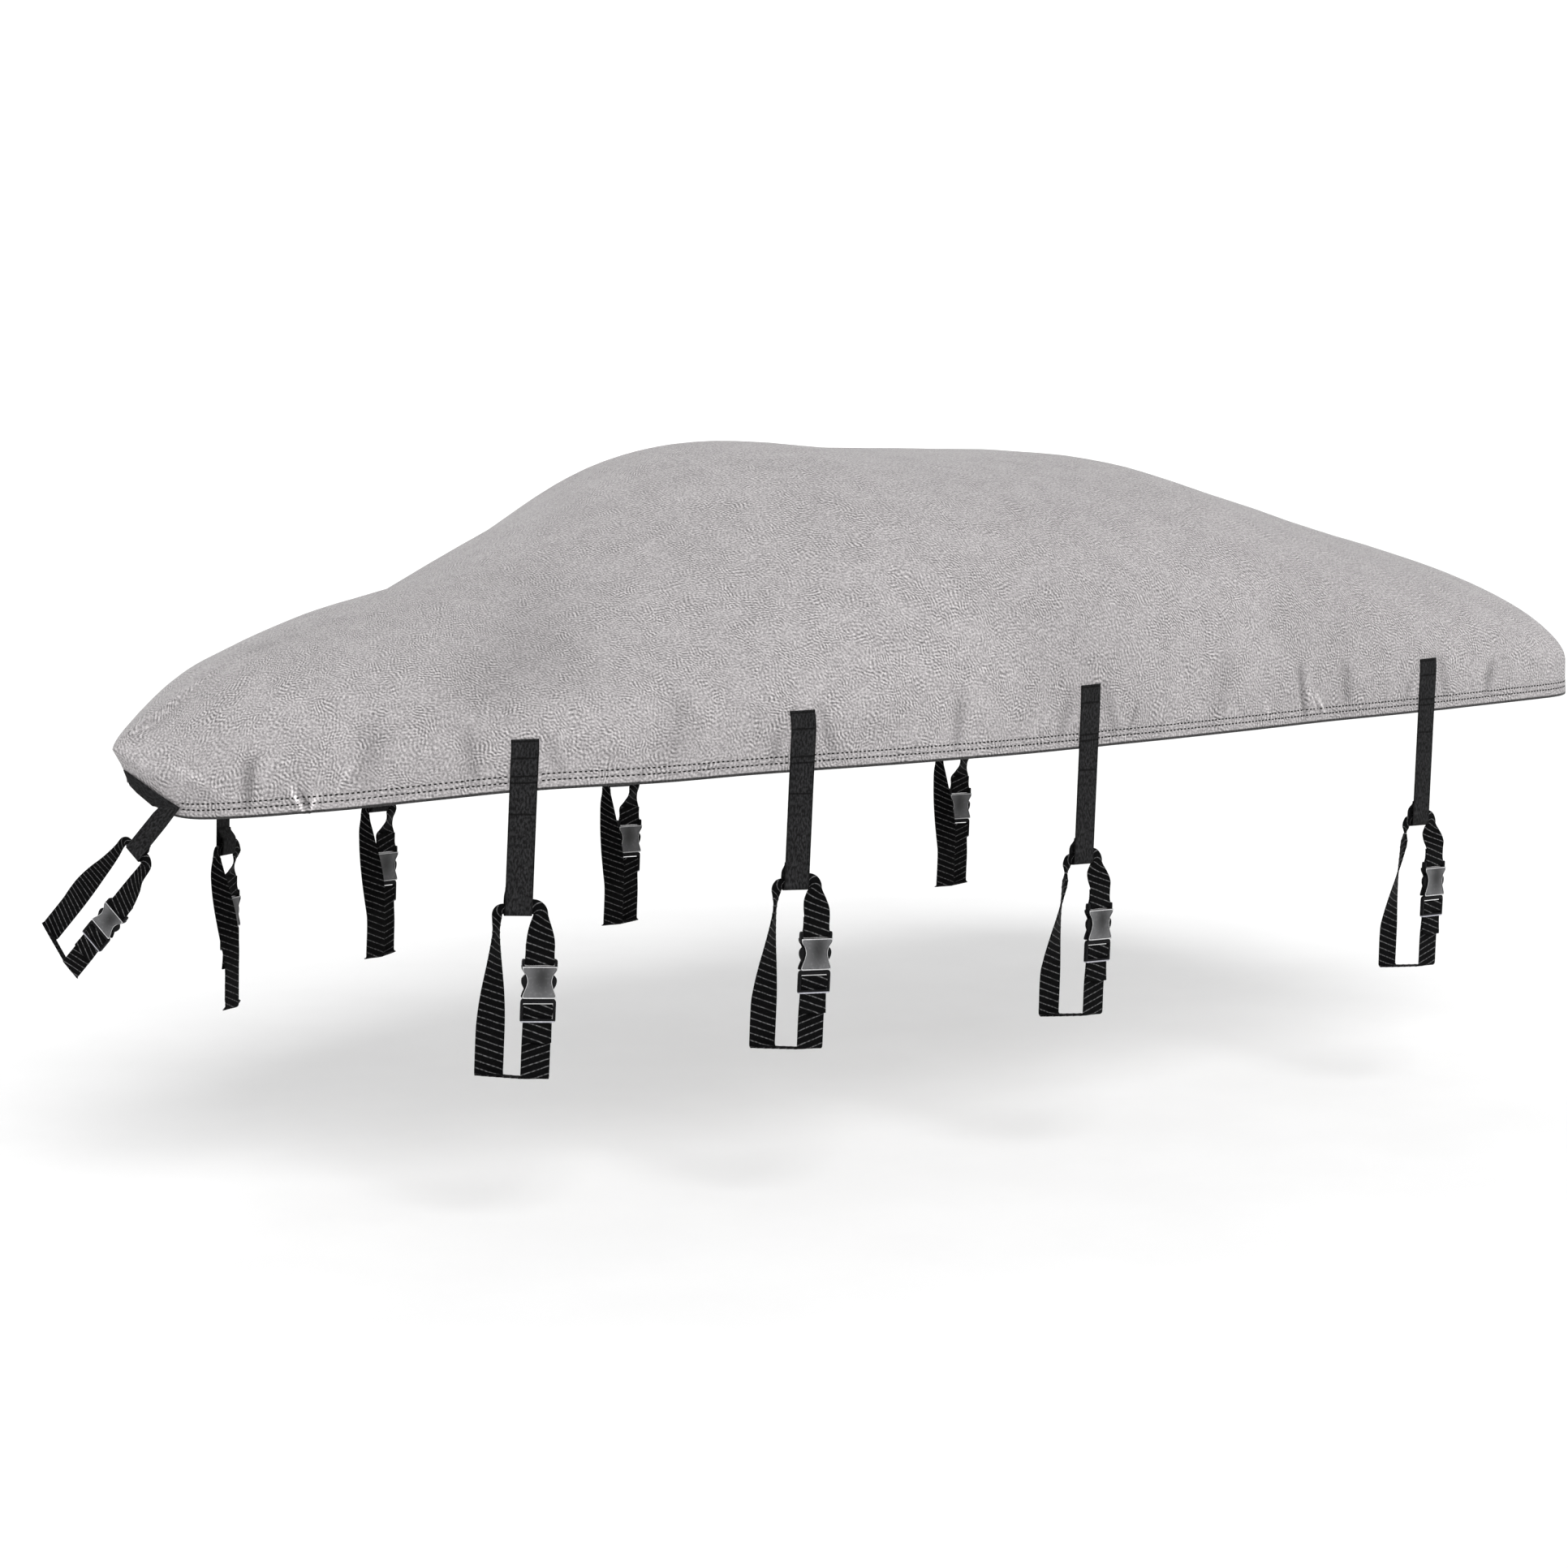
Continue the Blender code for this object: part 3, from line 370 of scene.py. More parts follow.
FLAT_ON, SAME_PLACE = 0.9, 1e-4

# ---------------------------------------------------------------- the webbing's finer details
STRAP_STEP, LOOP_STEP = 0.0021, 0.0022  # between the rings of the strips' meshes
SEAM_STEP = 0.002  # along a strap where the places of its stitches are wanted
LENGTH_STEP = 0.01  # along a strip where only its length is wanted
SEAM = "seam"  # the straps' attribute that is 1 on a line of stitching across them
SEAM_HALF, SEAM_SINK = 0.0026, 0.35
SEAM_ROWS = (0.006, 0.048)  # from a strap's sewn end
STRAP_SLACK = 0.004  # how much longer than its rise a strap is down to the hem
SEAM_BELOW_HEM = 0.055
SEAM_INSET = 0.005  # from the strap's edges to its stitching
STRAP_STITCH_PITCH = 0.0056
STRAP_STITCH = (0.0040, 0.0020, 0.0009)  # length, width and height
TWILL = 0.0042
RIB_HALF = 0.0023
RIB_SLANT = 0.34  # how far a rib drifts along the webbing for each metre across it
FRAYED = 0.0035

# ---------------------------------------------------------------- stage
FLOOR_Z = -1.93
FLOOR_GLOW, WALL_GLOW = 0.12, 0.54
STAGE_RADIUS, STAGE_CURVE, STAGE_WALL = 17.0, 6.0, 8.8
STAGE_STEPS, STAGE_SIDES = 16, 128
SKY = 0.59


class Sun(NamedTuple):
    """power is in watts a square metre. turn is the azimuth it shines from, and all angles are in
    degrees."""

    power: float
    spread: float
    turn: float
    height: float


SUNS = {"key": Sun(2.5, 32, -25, 40), "fill": Sun(0.40, 50, 150, 38)}
CAMERA_LENS, CAMERA_SENSOR = 100.0, 36.0  # in millimetres
CAMERA_AIM = (0.255, 0.0, -0.963)
CAMERA_DISTANCE = 12.3
CAMERA_TURN, CAMERA_TILT = math.radians(-41), math.radians(8)


# ---------------------------------------------------------------- smooth curves
def hermite(knots, values, slopes, places):
    """Values at places on the curve through the knots that has these slopes there."""
    places = np.clip(np.asarray(places, float), knots[0], knots[-1])
    i = np.clip(np.searchsorted(knots, places, side="right") - 1, 0, len(knots) - 2)
    step = knots[i + 1] - knots[i]
    t = (places - knots[i]) / step
    if values.ndim > 1:
        t, step = t[..., None], step[..., None]
    a = (1 + 2 * t) * (1 - t) ** 2
    b = t * (1 - t) ** 2 * step
    c = t**2 * (3 - 2 * t)
    d = t**2 * (t - 1) * step
    return a * values[i] + b * slopes[i] + c * values[i + 1] + d * slopes[i + 1]


KNOTS = np.array([row.x for row in STATIONS])


def station(name, x):
    values = np.array([getattr(row, name) for row in STATIONS])
    return hermite(KNOTS, values, np.gradient(values, KNOTS), x)


# ---------------------------------------------------------------- the shell's surface
def end_share(x):
    """How far x is into either rounded end, 0 to 1, and that end's power."""
    nose = np.clip((BOW_X + NOSE_REACH - x) / NOSE_REACH, 0.0, 1.0)
    transom = np.clip((x - STERN_X + TRANSOM_REACH) / TRANSOM_REACH, 0.0, 1.0)
    return nose + transom, np.where(transom > 0, TRANSOM_POWER, NOSE_POWER)


def half_plan(x):
    share, power = end_share(x)
    return station("half_beam", x) * (1 - share**power) ** (1 / power)


def near_nose(x, y, reach):
    return np.exp(-((x - BOW_X) ** 2 + y**2) / reach**2)


def hem_z(x, y, side):
    return station("hem_z", x) + NOSE_LIFT * near_nose(x, y, NOSE_LIFT_REACH[side])


def cloth_z(x, y, side):
    """Height of the cloth's outer face above the skirt, y being the distance from the centreline."""
    share, power = end_share(x)
    across = y / station("half_beam", x)
    out = np.clip((across**power + share**power) ** (1 / power), 0.0, 1.0)
    fullness = station("fullness", x)
    foot = hem_z(x, y, side) + station("skirt", x)
    return foot + (station("ridge_z", x) - foot) * (1 - out**fullness) ** (1 / fullness)


def plan_line():
    """The hem's half outline, nose to the middle of the transom: distance along it, x and half width."""
    angle = np.linspace(0, math.pi, PLAN_STEPS + 1)
    x = (BOW_X + STERN_X) / 2 - (STERN_X - BOW_X) / 2 * np.cos(angle)
    y = half_plan(x)
    y[[0, -1]] = 0.0
    along = np.concatenate([[0], np.cumsum(np.hypot(np.diff(x), np.diff(y)))])
    return along, x, y


PLAN_ALONG, PLAN_X, PLAN_Y = plan_line()
HALF_HEM = float(PLAN_ALONG[-1])


def along_at(x):
    return float(np.interp(x, PLAN_X, PLAN_ALONG))


def fold_depth(along, side, rise):
    depth = np.zeros(np.broadcast(along, rise).shape)
    for fold in FOLDS:
        if (fold.at > 0) == (side == PORT):
            above = rise - fold.rise
            off = (along - abs(fold.at) - fold.lean * above) / fold.half_width
            depth += fold.depth * np.exp(-(off**2) - (above / fold.half_rise) ** 2)
    return depth


def shell_point(along, side, skirt_share, rise):
    """Points of the frame's outer face. skirt_share is 0 at the hem's edge and 1 at the gunwale, and
    rise is 0 at the gunwale and 1 on the ridge. Arguments broadcast; xyz is the result's last axis."""
    along, skirt_share, rise = np.broadcast_arrays(along, skirt_share, rise)
    hem_x = np.interp(along, PLAN_ALONG, PLAN_X)
    hem_y = np.interp(along, PLAN_ALONG, PLAN_Y)
    ahead = np.minimum(along + NEAR, HALF_HEM)
    behind = np.maximum(along - NEAR, 0.0)
    run_x = np.interp(ahead, PLAN_ALONG, PLAN_X) - np.interp(behind, PLAN_ALONG, PLAN_X)
    run_y = np.interp(ahead, PLAN_ALONG, PLAN_Y) - np.interp(behind, PLAN_ALONG, PLAN_Y)
    run = np.hypot(run_x, run_y)
    out_x, out_y = -run_y / run, run_x / run

    ridge_bow, ridge_stern = BOW_X + RIDGE_INSET_BOW, STERN_X - RIDGE_INSET_STERN
    share = (1 - RIDGE_SPREAD) * (hem_x - BOW_X) / (STERN_X - BOW_X) + RIDGE_SPREAD * along / HALF_HEM
    ridge_x = ridge_bow + (ridge_stern - ridge_bow) * share
    power = 2 / station("fullness", 0.5 * (hem_x + ridge_x))
    inward = 1 - np.cos(rise * math.pi / 2) ** power
    upward = np.sin(rise * math.pi / 2)
    x = hem_x + (ridge_x - hem_x) * inward
    y = hem_y * (1 - inward)
    skirt_z = hem_z(hem_x, hem_y, side) + skirt_share * station("skirt", hem_x)
    z = np.where(rise > 0, cloth_z(x, y, side), skirt_z)

    depth = fold_depth(along, side, rise)
    tuck = NOSE_TUCK * (1 - skirt_share) * near_nose(hem_x, hem_y, NOSE_TUCK_REACH)
    x = x - (depth * (1 - upward) + tuck) * out_x
    y = y - (depth * (1 - upward) + tuck) * out_y
    z = z - depth * upward
    return np.stack([x, side * y, z], axis=-1)


# ---------------------------------------------------------------- the cloth, finer and creased
STRAP_PLACES = tuple(along_at(strap.x) for strap in STRAPS)


class Cloth(NamedTuple):
    """One side's grid of the finished cloth: along per column, and girth, relief, points and normals
    per column and row. girth is the distance up the cloth from the hem's edge, and relief how far the
    creases lift it."""

    along: np.ndarray
    girth: np.ndarray
    relief: np.ndarray
    points: np.ndarray
    normals: np.ndarray

    def at(self, along, girth):
        """The place and outward normal there."""
        i = int(np.clip(np.searchsorted(self.along, along) - 1, 0, len(self.along) - 2))
        t = (along - self.along[i]) / (self.along[i + 1] - self.along[i])
        found = []
        for values in (self.points, self.normals):
            ends = [
                [np.interp(girth, self.girth[k], values[k, :, axis]) for axis in range(3)]
                for k in (i, i + 1)
            ]
            found.append(Vector(ends[0]).lerp(Vector(ends[1]), t))
        return found[0], found[1].normalized()


def grid_columns():
    """Places along the half hem, closer together round the nose and at port's narrow creases."""
    fine = np.linspace(0, HALF_HEM, PLAN_STEPS)
    density = 1 + NOSE_CROWDING * np.exp(-((fine / NOSE_CROWDED) ** 2))
    for crease in CREASES:
        for half_width, crowding in COLUMN_CROWDING:
            if crease.at > 0 and crease.half_width < half_width:
                middle = crease.at + crease.lean / 2
                reach = CROWDED_REACH * crease.half_width + abs(crease.lean) / 2
                density += crowding * np.exp(-(((fine - middle) / reach) ** 4))
    share = np.concatenate([[0], np.cumsum((density[1:] + density[:-1]) / 2)])
    return np.interp(np.linspace(0, share[-1], COLUMNS + 1), share, fine)


def unit_rows(vectors):
    return vectors / np.maximum(np.linalg.norm(vectors, axis=-1, keepdims=True), 1e-9)


def grid_normals(points, side):
    along, up = np.gradient(points, axis=0), np.gradient(points, axis=1)
    normals = unit_rows(np.cross(along, up))
    return normals if side == PORT else -normals


def clear_of_straps(along, girth, side):
    """1 where the cloth may crease and 0 where a strap holds it flat."""
    clear = np.ones(np.broadcast(along, girth).shape)
    for place in STRAP_PLACES:
        clear -= STRAP_HOLD.on(along - place, girth)
    if side == PORT:
        clear -= BOW_STRAP_HOLD.on(along, girth)
    return np.clip(clear, 0, 1)


def crease_lift(along, girth, side):
    lift = np.zeros(girth.shape)
    for crease in CREASES:
        if (crease.at > 0) != (side == PORT):
            continue
        share = (girth - crease.foot) / (crease.top - crease.foot)
        middle = abs(crease.at) + crease.lean * share
        spread = CREASE_SPREAD[0] + CREASE_SPREAD[1] * np.clip(share, 0, 1)
        off = np.abs(along - middle) / (crease.half_width * spread)
        across = (1 + CREASE_FLANK) * np.exp(-(off**CREASE_SHARPNESS))
        across -= CREASE_FLANK * np.exp(-((off / FLANK_REACH) ** 2))
        length = np.clip(4 * share * (1 - share), 0, 1) ** CREASE_ENDS * (share > 0) * (share < 1)
        lift -= crease.depth * across * length
    return lift


def stitch_lift(along, girth):
    """The hem's double cloth, pulled down along its rows of stitching."""
    low, high = STITCH_ROWS
    middle = (low + high) / 2
    bulge = np.exp(-(((girth - middle) / (BULGE_REACH * (high - low))) ** 4))
    bulge += np.exp(-(((girth - low / 2) / (EDGE_BULGE_REACH * low)) ** 4))
    turns = along * math.tau / PUCKER_WAVE
    pucker = np.sin(turns) * np.sin(turns / PUCKER_BEAT)
    lift = bulge * (HEM_BULGE + PUCKER * pucker)
    for row in STITCH_ROWS:
        lift -= STITCH_GROOVE * np.exp(-(((girth - row) / STITCH_GROOVE_HALF) ** 2))
    return lift


def uneven_lift(points, clear):
    lift = np.zeros(points.shape[:2])
    for size, height in UNEVEN:
        for i, column in enumerate(points):
            for j, place in enumerate(column):
                lift[i, j] += height * noise.noise(Vector(place) / size)
    return lift * clear


def make_cloth(side, crease_scale):
    """One side of the finished cloth: the frame's face, lifted along its normals."""
    along = grid_columns()
    rows = [(share, 0.0) for share in SKIRT_ROWS]
    rows += [(1.0, (k / ARC_ROWS) ** ARC_CROWDING) for k in range(1, ARC_ROWS + 1)]
    shares, rises = (np.array(values)[None, :] for values in zip(*rows))
    points = shell_point(along[:, None], side, shares, rises)
    steps = np.linalg.norm(np.diff(points, axis=1), axis=-1)
    girth = np.concatenate([np.zeros((len(along), 1)), np.cumsum(steps, axis=1)], axis=1)
    normals = grid_normals(points, side)
    lengthwise = along[:, None]
    clear = clear_of_straps(lengthwise, girth, side)
    lift = crease_lift(lengthwise, girth, side) * clear * crease_scale
    # relief feeds the painted shade and highlight of the creases and the broad folds
    relief = lift - HOLLOW_SHARE * fold_depth(lengthwise, side, rises)
    lift += uneven_lift(points, clear)
    lift += stitch_lift(lengthwise, girth) * (UNDER_STRAP + (1 - UNDER_STRAP) * clear)
    points = points + normals * lift[..., None]
    return Cloth(along, girth, relief, points, grid_normals(points, side))


# ---------------------------------------------------------------- mesh helpers
def finished(name, mesh, materials, slot, *nodes, smooth=True):
    """A new piece that rides on the root and stands for the nodes."""
    made = bpy.data.objects.new(name, mesh)
    bpy.context.scene.collection.objects.link(made)
    for finish in materials:
        mesh.materials.append(finish)
    if smooth:
        mesh.shade_smooth()
    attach(made, "root")
    if nodes:
        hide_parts(*nodes)
    return made


def mesh_of(name, points, faces, uvs=None):
    """A mesh from its points and faces. uvs has one pair for every corner of every face, in order."""
    mesh = bpy.data.meshes.new(name)
    mesh.from_pydata([tuple(map(float, p)) for p in points], [], faces)
    if uvs is not None:
        layer = mesh.uv_layers.new(name="UVMap")
        layer.data.foreach_set("uv", np.array(uvs, np.float32).ravel())
    mesh.update()
    return mesh


# Round a strip's section: shares of its half width and half thickness.
EDGE = ((1.0, 0.0), (0.993, 0.62), (0.965, 0.93), (0.90, 1.0), (0.45, 1.0), (0.0, 1.0))
SECTION = EDGE + tuple((-x, y) for x, y in EDGE[-2::-1])
SECTION += tuple((-x, -y) for x, y in EDGE[1:]) + tuple((x, -y) for x, y in EDGE[-2:0:-1])


def length_of(stations):
    """How long the strip through the stations is."""
    return float(resampled(stations, LENGTH_STEP)[0][-1])


def resampled(stations, spacing, smooth=True):
    """The stations' curve, or the straight runs between them, cut into even steps: distances, centres,
    half widths and half thicknesses."""
    rows = np.array([[*centre, *across, *out] for centre, across, out in stations])
    run = np.concatenate([[0], np.cumsum(np.linalg.norm(np.diff(rows[:, :3], axis=0), axis=1))])
    if not smooth:
        pieces = [
            np.linspace(a, b, max(1, round((b - a) / spacing)), endpoint=False)
            for a, b in zip(run, run[1:])
        ]
        places = np.concatenate([*pieces, run[-1:]])
        found = np.stack([np.interp(places, run, values) for values in rows.T], axis=1)
        return places, found[:, :3], found[:, 3:6], found[:, 6:]
    slopes = np.empty_like(rows)
    slopes[1:-1] = (rows[2:] - rows[:-2]) / (run[2:] - run[:-2])[:, None]
    slopes[0] = (rows[1] - rows[0]) / (run[1] - run[0])
    slopes[-1] = (rows[-1] - rows[-2]) / (run[-1] - run[-2])
    places = np.linspace(0, run[-1], max(2, round(run[-1] / spacing)) + 1)
    found = hermite(run, rows, slopes, places)
    return places, found[:, :3], found[:, 3:6], found[:, 6:]


def fray(wide):
    """How unevenly webbing is cut at a share of its half width: a slow wave and a finer, smaller one."""
    slow, fine = Vector((wide * 4.0, 0.3, 0.7)), Vector((wide * 13.0, 2.1, 0.0))
    return noise.noise(slow) + 0.5 * noise.noise(fine)


def strip_mesh(name, stations, spacing, thicken=None, frayed=0.0, rows=(), smooth=True):
    """A closed strip with softly rounded edges. thicken gives a factor on the thickness for distances
    along and across it, frayed is how unevenly the last end is cut, and rows are the distances of the
    lines of stitching that pinch it."""
    run, centres, acrosses, outs = resampled(stations, spacing, smooth)
    width = 2 * float(np.linalg.norm(acrosses[0]))
    side_u = np.array([wide * width / 2 for wide, _ in SECTION])
    seam = np.zeros(len(run))
    for row in rows:
        seam = np.maximum(seam, np.exp(-(((run - row) / SEAM_HALF) ** 2)))
    factor = (1 - SEAM_SINK * seam)[:, None] * np.ones(len(SECTION))
    if thicken is not None:
        factor = factor * thicken(run[:, None], side_u)
    points, around = [], len(SECTION)
    along_unit = unit_rows(np.gradient(centres, axis=0))
    for k in range(len(run)):
        for i, (wide, thick) in enumerate(SECTION):
            point = centres[k] + acrosses[k] * wide + outs[k] * thick * factor[k, i]
            if frayed and k >= len(run) - 2:
                point = point + along_unit[k] * frayed * fray(wide)
            points.append(point)
    faces, uvs = [], []
    for k in range(len(run) - 1):
        for i in range(around):
            j = (i + 1) % around
            a, b = k * around, (k + 1) * around
            faces.append((a + i, a + j, b + j, b + i))
            uvs += [(side_u[at], run[ring]) for at, ring in ((i, k), (j, k), (j, k + 1), (i, k + 1))]
    last = (len(run) - 1) * around
    faces.append(tuple(range(around - 1, -1, -1)))
    faces.append(tuple(range(last, last + around)))
    uvs += [(side_u[i], run[0]) for i in range(around - 1, -1, -1)]
    uvs += [(u, run[-1]) for u in side_u]
    mesh = mesh_of(name, points, faces, uvs)
    if signed_volume(points, faces) < 0:
        mesh.flip_normals()
    mesh.attributes.new(SEAM, "FLOAT", "POINT").data.foreach_set("value", np.repeat(seam, around))
    return mesh


def signed_volume(points, faces):
    volume = 0.0
    for face in faces:
        a = Vector(points[face[0]])
        for j, k in zip(face[1:-1], face[2:]):
            volume += a.dot(Vector(points[j]).cross(Vector(points[k])))
    return volume


def stitch_shape():
    """Corner points of one stitch, lying along x: a low, six-sided bead that dips at both ends."""
    rings = ((-0.5, 0.25, -0.2), (-0.36, 0.85, 0.75), (0.36, 0.85, 0.75), (0.5, 0.25, -0.2))
    points = []
    for x, wide, high in rings:
        points += [(x, y * wide, z) for y, z in ((-0.5, 0.0), (-0.28, high), (0.28, high), (0.5, 0.0))]
    corners = [4 * ring + i for ring in range(3) for i in range(3)]
    faces = [(a, a + 1, a + 5, a + 4) for a in corners]
    faces += [(3, 2, 1, 0), (12, 13, 14, 15)]
    return points, faces


def stitches_mesh(name, seats, length, width, height):
    """Many stitches in one mesh. Each seat is (place, direction, normal)."""
    shape, shape_faces = stitch_shape()
    points, faces = [], []
    for place, direction, normal in seats:
        direction = (direction - normal * direction.dot(normal)).normalized()
        across = normal.cross(direction)
        start = len(points)
        for x, y, z in shape:
            points.append(place + direction * x * length + across * y * width + normal * z * height)
        faces += [tuple(start + i for i in face) for face in shape_faces]
    return mesh_of(name, points, faces)


# ---------------------------------------------------------------- straps, as lists of stations
def flat_frame(place_along, side):
    """Where a strap leaves the hem: its middle, and unit vectors along the hem aft and inboard."""
    half = STRAP_PANEL / 2
    a, b = (Vector(shell_point(place_along + step, side, 0.0, 0.0)) for step in (-half, half))
    run = (b - a).to_2d().to_3d().normalized()
    return (a + b) / 2, run, Vector((run.y, -run.x, 0)) * side


def end_loop(bottom, half, inboard, radius, height, up):
    """The strap's end folded back inboard into a loop, from its lowest part round and up to its seam."""
    meet = WEB + SEAM_GAP
    angles = [math.pi * i / LOOP_TURN_STEPS for i in range(LOOP_TURN_STEPS + 1)]
    turn = [(radius - radius * math.cos(a), radius - radius * math.sin(a), a) for a in angles]
    turn.append((2 * radius, height * LOOP_STRAIGHT, math.pi))
    turn.append((meet + LOOP_EASE, height * LOOP_CLOSED, math.pi + LOOP_EASE_TURN))
    turn.append((meet, height, math.pi))
    found = []
    for inward, raised, angle in turn:
        out = -inboard * math.cos(angle) - up * math.sin(angle)
        found.append((bottom + inboard * inward + up * raised, half, out * WEB / 2))
    return found


def side_strap(cloth, side, strap):
    """The strap's stations, from its sewn end down, and the place and axes of its lower end."""
    place = along_at(strap.x)
    middle, run, inboard = flat_frame(place, side)
    column = int(np.argmin(abs(cloth.along - place)))
    top = float(np.interp(middle.z + strap.rise, cloth.points[column, :, 2], cloth.girth[column]))
    lift = SEAM_GAP + WEB / 2
    stations = []
    for girth in np.linspace(top, 0, STRAP_SEATS):
        seat, normal = cloth.at(place + STRAP_SLANT * girth, girth)
        half = (run - normal * run.dot(normal)).normalized() * STRAP_WIDTH / 2
        stations.append((seat + normal * lift, half, normal * WEB / 2))
    up = (UP * strap.drop + run * STRAP_LEAN).normalized()
    half = (run - up * run.dot(up)).normalized() * STRAP_WIDTH / 2
    bottom = middle - inboard * lift - up * strap.drop
    for share in HANGING_SHARES:
        stations.append((bottom + up * strap.drop * share, half, -inboard * WEB / 2))
    stations += end_loop(bottom, half, inboard, END_LOOP_RADIUS, END_LOOP_HEIGHT, up)
    return stations, (bottom, half.normalized(), up.cross(half).normalized(), up)


def bow_strap():
    """The same for the bow strap, which runs round the nose and turns down at a mitred corner."""
    half_width = BOW_STRAP_WIDTH / 2
    lift = SEAM_GAP + WEB / 2
    stations = []
    for k in range(BOW_CORNER_STEPS + 1):
        place = BOW_CORNER * k / BOW_CORNER_STEPS
        foot, top = (Vector(shell_point(place, PORT, share, 0.0)) for share in (0.0, 1.0))
        after = Vector(shell_point(place + NEAR, PORT, 0.0, 0.0))
        before = Vector(shell_point(max(place - NEAR, 0.0), PORT, 0.0, 0.0))
        run, rise = (after - before).normalized(), (top - foot).normalized()
        out = run.cross(rise).normalized()
        across = (rise - run * rise.dot(run)).normalized()
        off = lift + (BOW_STANDOFF if k else 0.0)
        stations.append((foot + across * half_width + out * off, across * half_width, out * WEB / 2))
    corner, across, out = stations.pop()
    out = out.to_2d().to_3d().normalized()
    aft = Vector((-out.y, out.x, 0)).normalized()
    stations.append((corner, (aft + UP * BOW_MITRE_SLOPE) * BOW_MITRE / 2, out * WEB / 2))
    hang = -(aft * math.sin(BOW_STRAP_LEAN) + UP * math.cos(BOW_STRAP_LEAN))
    half = aft * math.cos(BOW_STRAP_LEAN) - UP * math.sin(BOW_STRAP_LEAN)
    for down in BOW_HANGING:
        stations.append((corner + hang * down, half * half_width, out * WEB / 2))
    bottom = corner + hang * BOW_STRAP_DROP
    height = END_LOOP_HEIGHT * BOW_SCALE
    stations += end_loop(bottom, half * half_width, -out, BOW_END_LOOP_RADIUS, height, -hang)
    return stations, (bottom, half, -out, -hang)


def axes_at(place, x_axis, y_axis, z_axis, scale=1.0):
    turn = Matrix((x_axis, y_axis, z_axis)).transposed().to_4x4()
    return Matrix.Translation(place) @ turn @ Matrix.Scale(scale, 4)


# ---------------------------------------------------------------- the buckled loop, as stations
# Local axes of a loop: x along the strap's width, y inboard, z up, from the strap's lowest point.
def in_buckle(shape, depth, height):
    return Vector((shape.front_x, BUCKLE_Y + depth, shape.foot + height))


def flat(centre, width=LOOP_WIDTH, thick=WEB, out=(0, -1, 0), across=(1, 0, 0)):
    return Vector(centre), Vector(across) * width / 2, Vector(out).normalized() * thick / 2


def strand_over_hold_bar(shape):
    """From the sewn end, down behind the bar in the buckle's head, round it and up in front."""
    bar_foot = BODY_HEAD - HOLD_BAR
    sewn = WEB / 2 + SEAM_GAP / 2
    heights = (BODY_HEAD + SEWN_LENGTH, BODY_HEAD + SEWN_FOOT)
    found = [flat(in_buckle(shape, sewn, height), out=(0, 1, 0)) for height in heights]
    found.append(flat(in_buckle(shape, HOLD_BEND, BODY_HEAD), out=(0, 1, 0)))
    for i in range(7):
        a = math.pi * i / 6
        place = in_buckle(shape, HOLD_BEND * math.cos(a), bar_foot - HOLD_BEND * math.sin(a))
        found.append(flat(place, out=(0, math.cos(a), -math.sin(a))))
    found.append(flat(in_buckle(shape, -HOLD_BEND, BODY_HEAD)))
    return found + [flat(in_buckle(shape, -sewn, height)) for height in heights[::-1]]


def turn_x(sign, size):
    return sign * (TUNNEL_END + size[0] / 2 + TUNNEL_TURN)


def gathered_turn(sign, size, steps=5):
    """The webbing turning between the tunnel, where it runs along x, and a strand that hangs."""
    width, thick = size
    radius = width / 2 + TUNNEL_TURN
    found = []
    for i in range(steps + 1):
        a = math.pi / 2 * i / steps
        x = sign * (TUNNEL_END + radius * math.sin(a))
        z = TUNNEL_FOOT - TUNNEL_TURN + radius * math.cos(a)
        across = (sign * math.sin(a), 0, math.cos(a))
        found.append(flat((x, END_LOOP_RADIUS, z), width, thick, across=across))
    return found


def strand(rows, shape, start_x, end_x):
    found = []
    for row in rows:
        turn = Matrix.Rotation(math.radians(row.twist), 3, "Z")
        out, across = turn @ Vector((0, -1, 0)), turn @ Vector((1, 0, 0))
        x = start_x + (end_x - start_x) * row.sideways
        found.append(flat((x, row.y, shape.rail_z * row.down), row.width, row.thick, out, across))
    return found


def rail_wrap(shape):
    """Down the rail's inner face, under it and up its outer face to the buckle."""
    bend = RAIL_BEND
    inner_y = RAIL_WIDTH + WEB / 2 + SEAM_GAP
    outer_y = -WEB / 2 - SEAM_GAP
    floor_z = shape.rail_z - RAIL_HEIGHT - WEB / 2 - SEAM_GAP
    found = [flat((shape.back_x, inner_y, floor_z + bend + RAIL_LEAD), out=(0, 1, 0))]
    corners = ((inner_y - bend, shape.back_x, 0), (outer_y + bend, shape.front_x, 1))
    for corner_y, x, quarter in corners:
        for i in range(4):
            a = math.pi / 2 * (quarter + i / 3)
            place = (x, corner_y + bend * math.cos(a), floor_z + bend - bend * math.sin(a))
            found.append(flat(place, out=(0, math.cos(a), -math.sin(a))))
    found.append(flat((shape.front_x, outer_y, shape.rail_z - RAIL_LEAVE)))
    return found


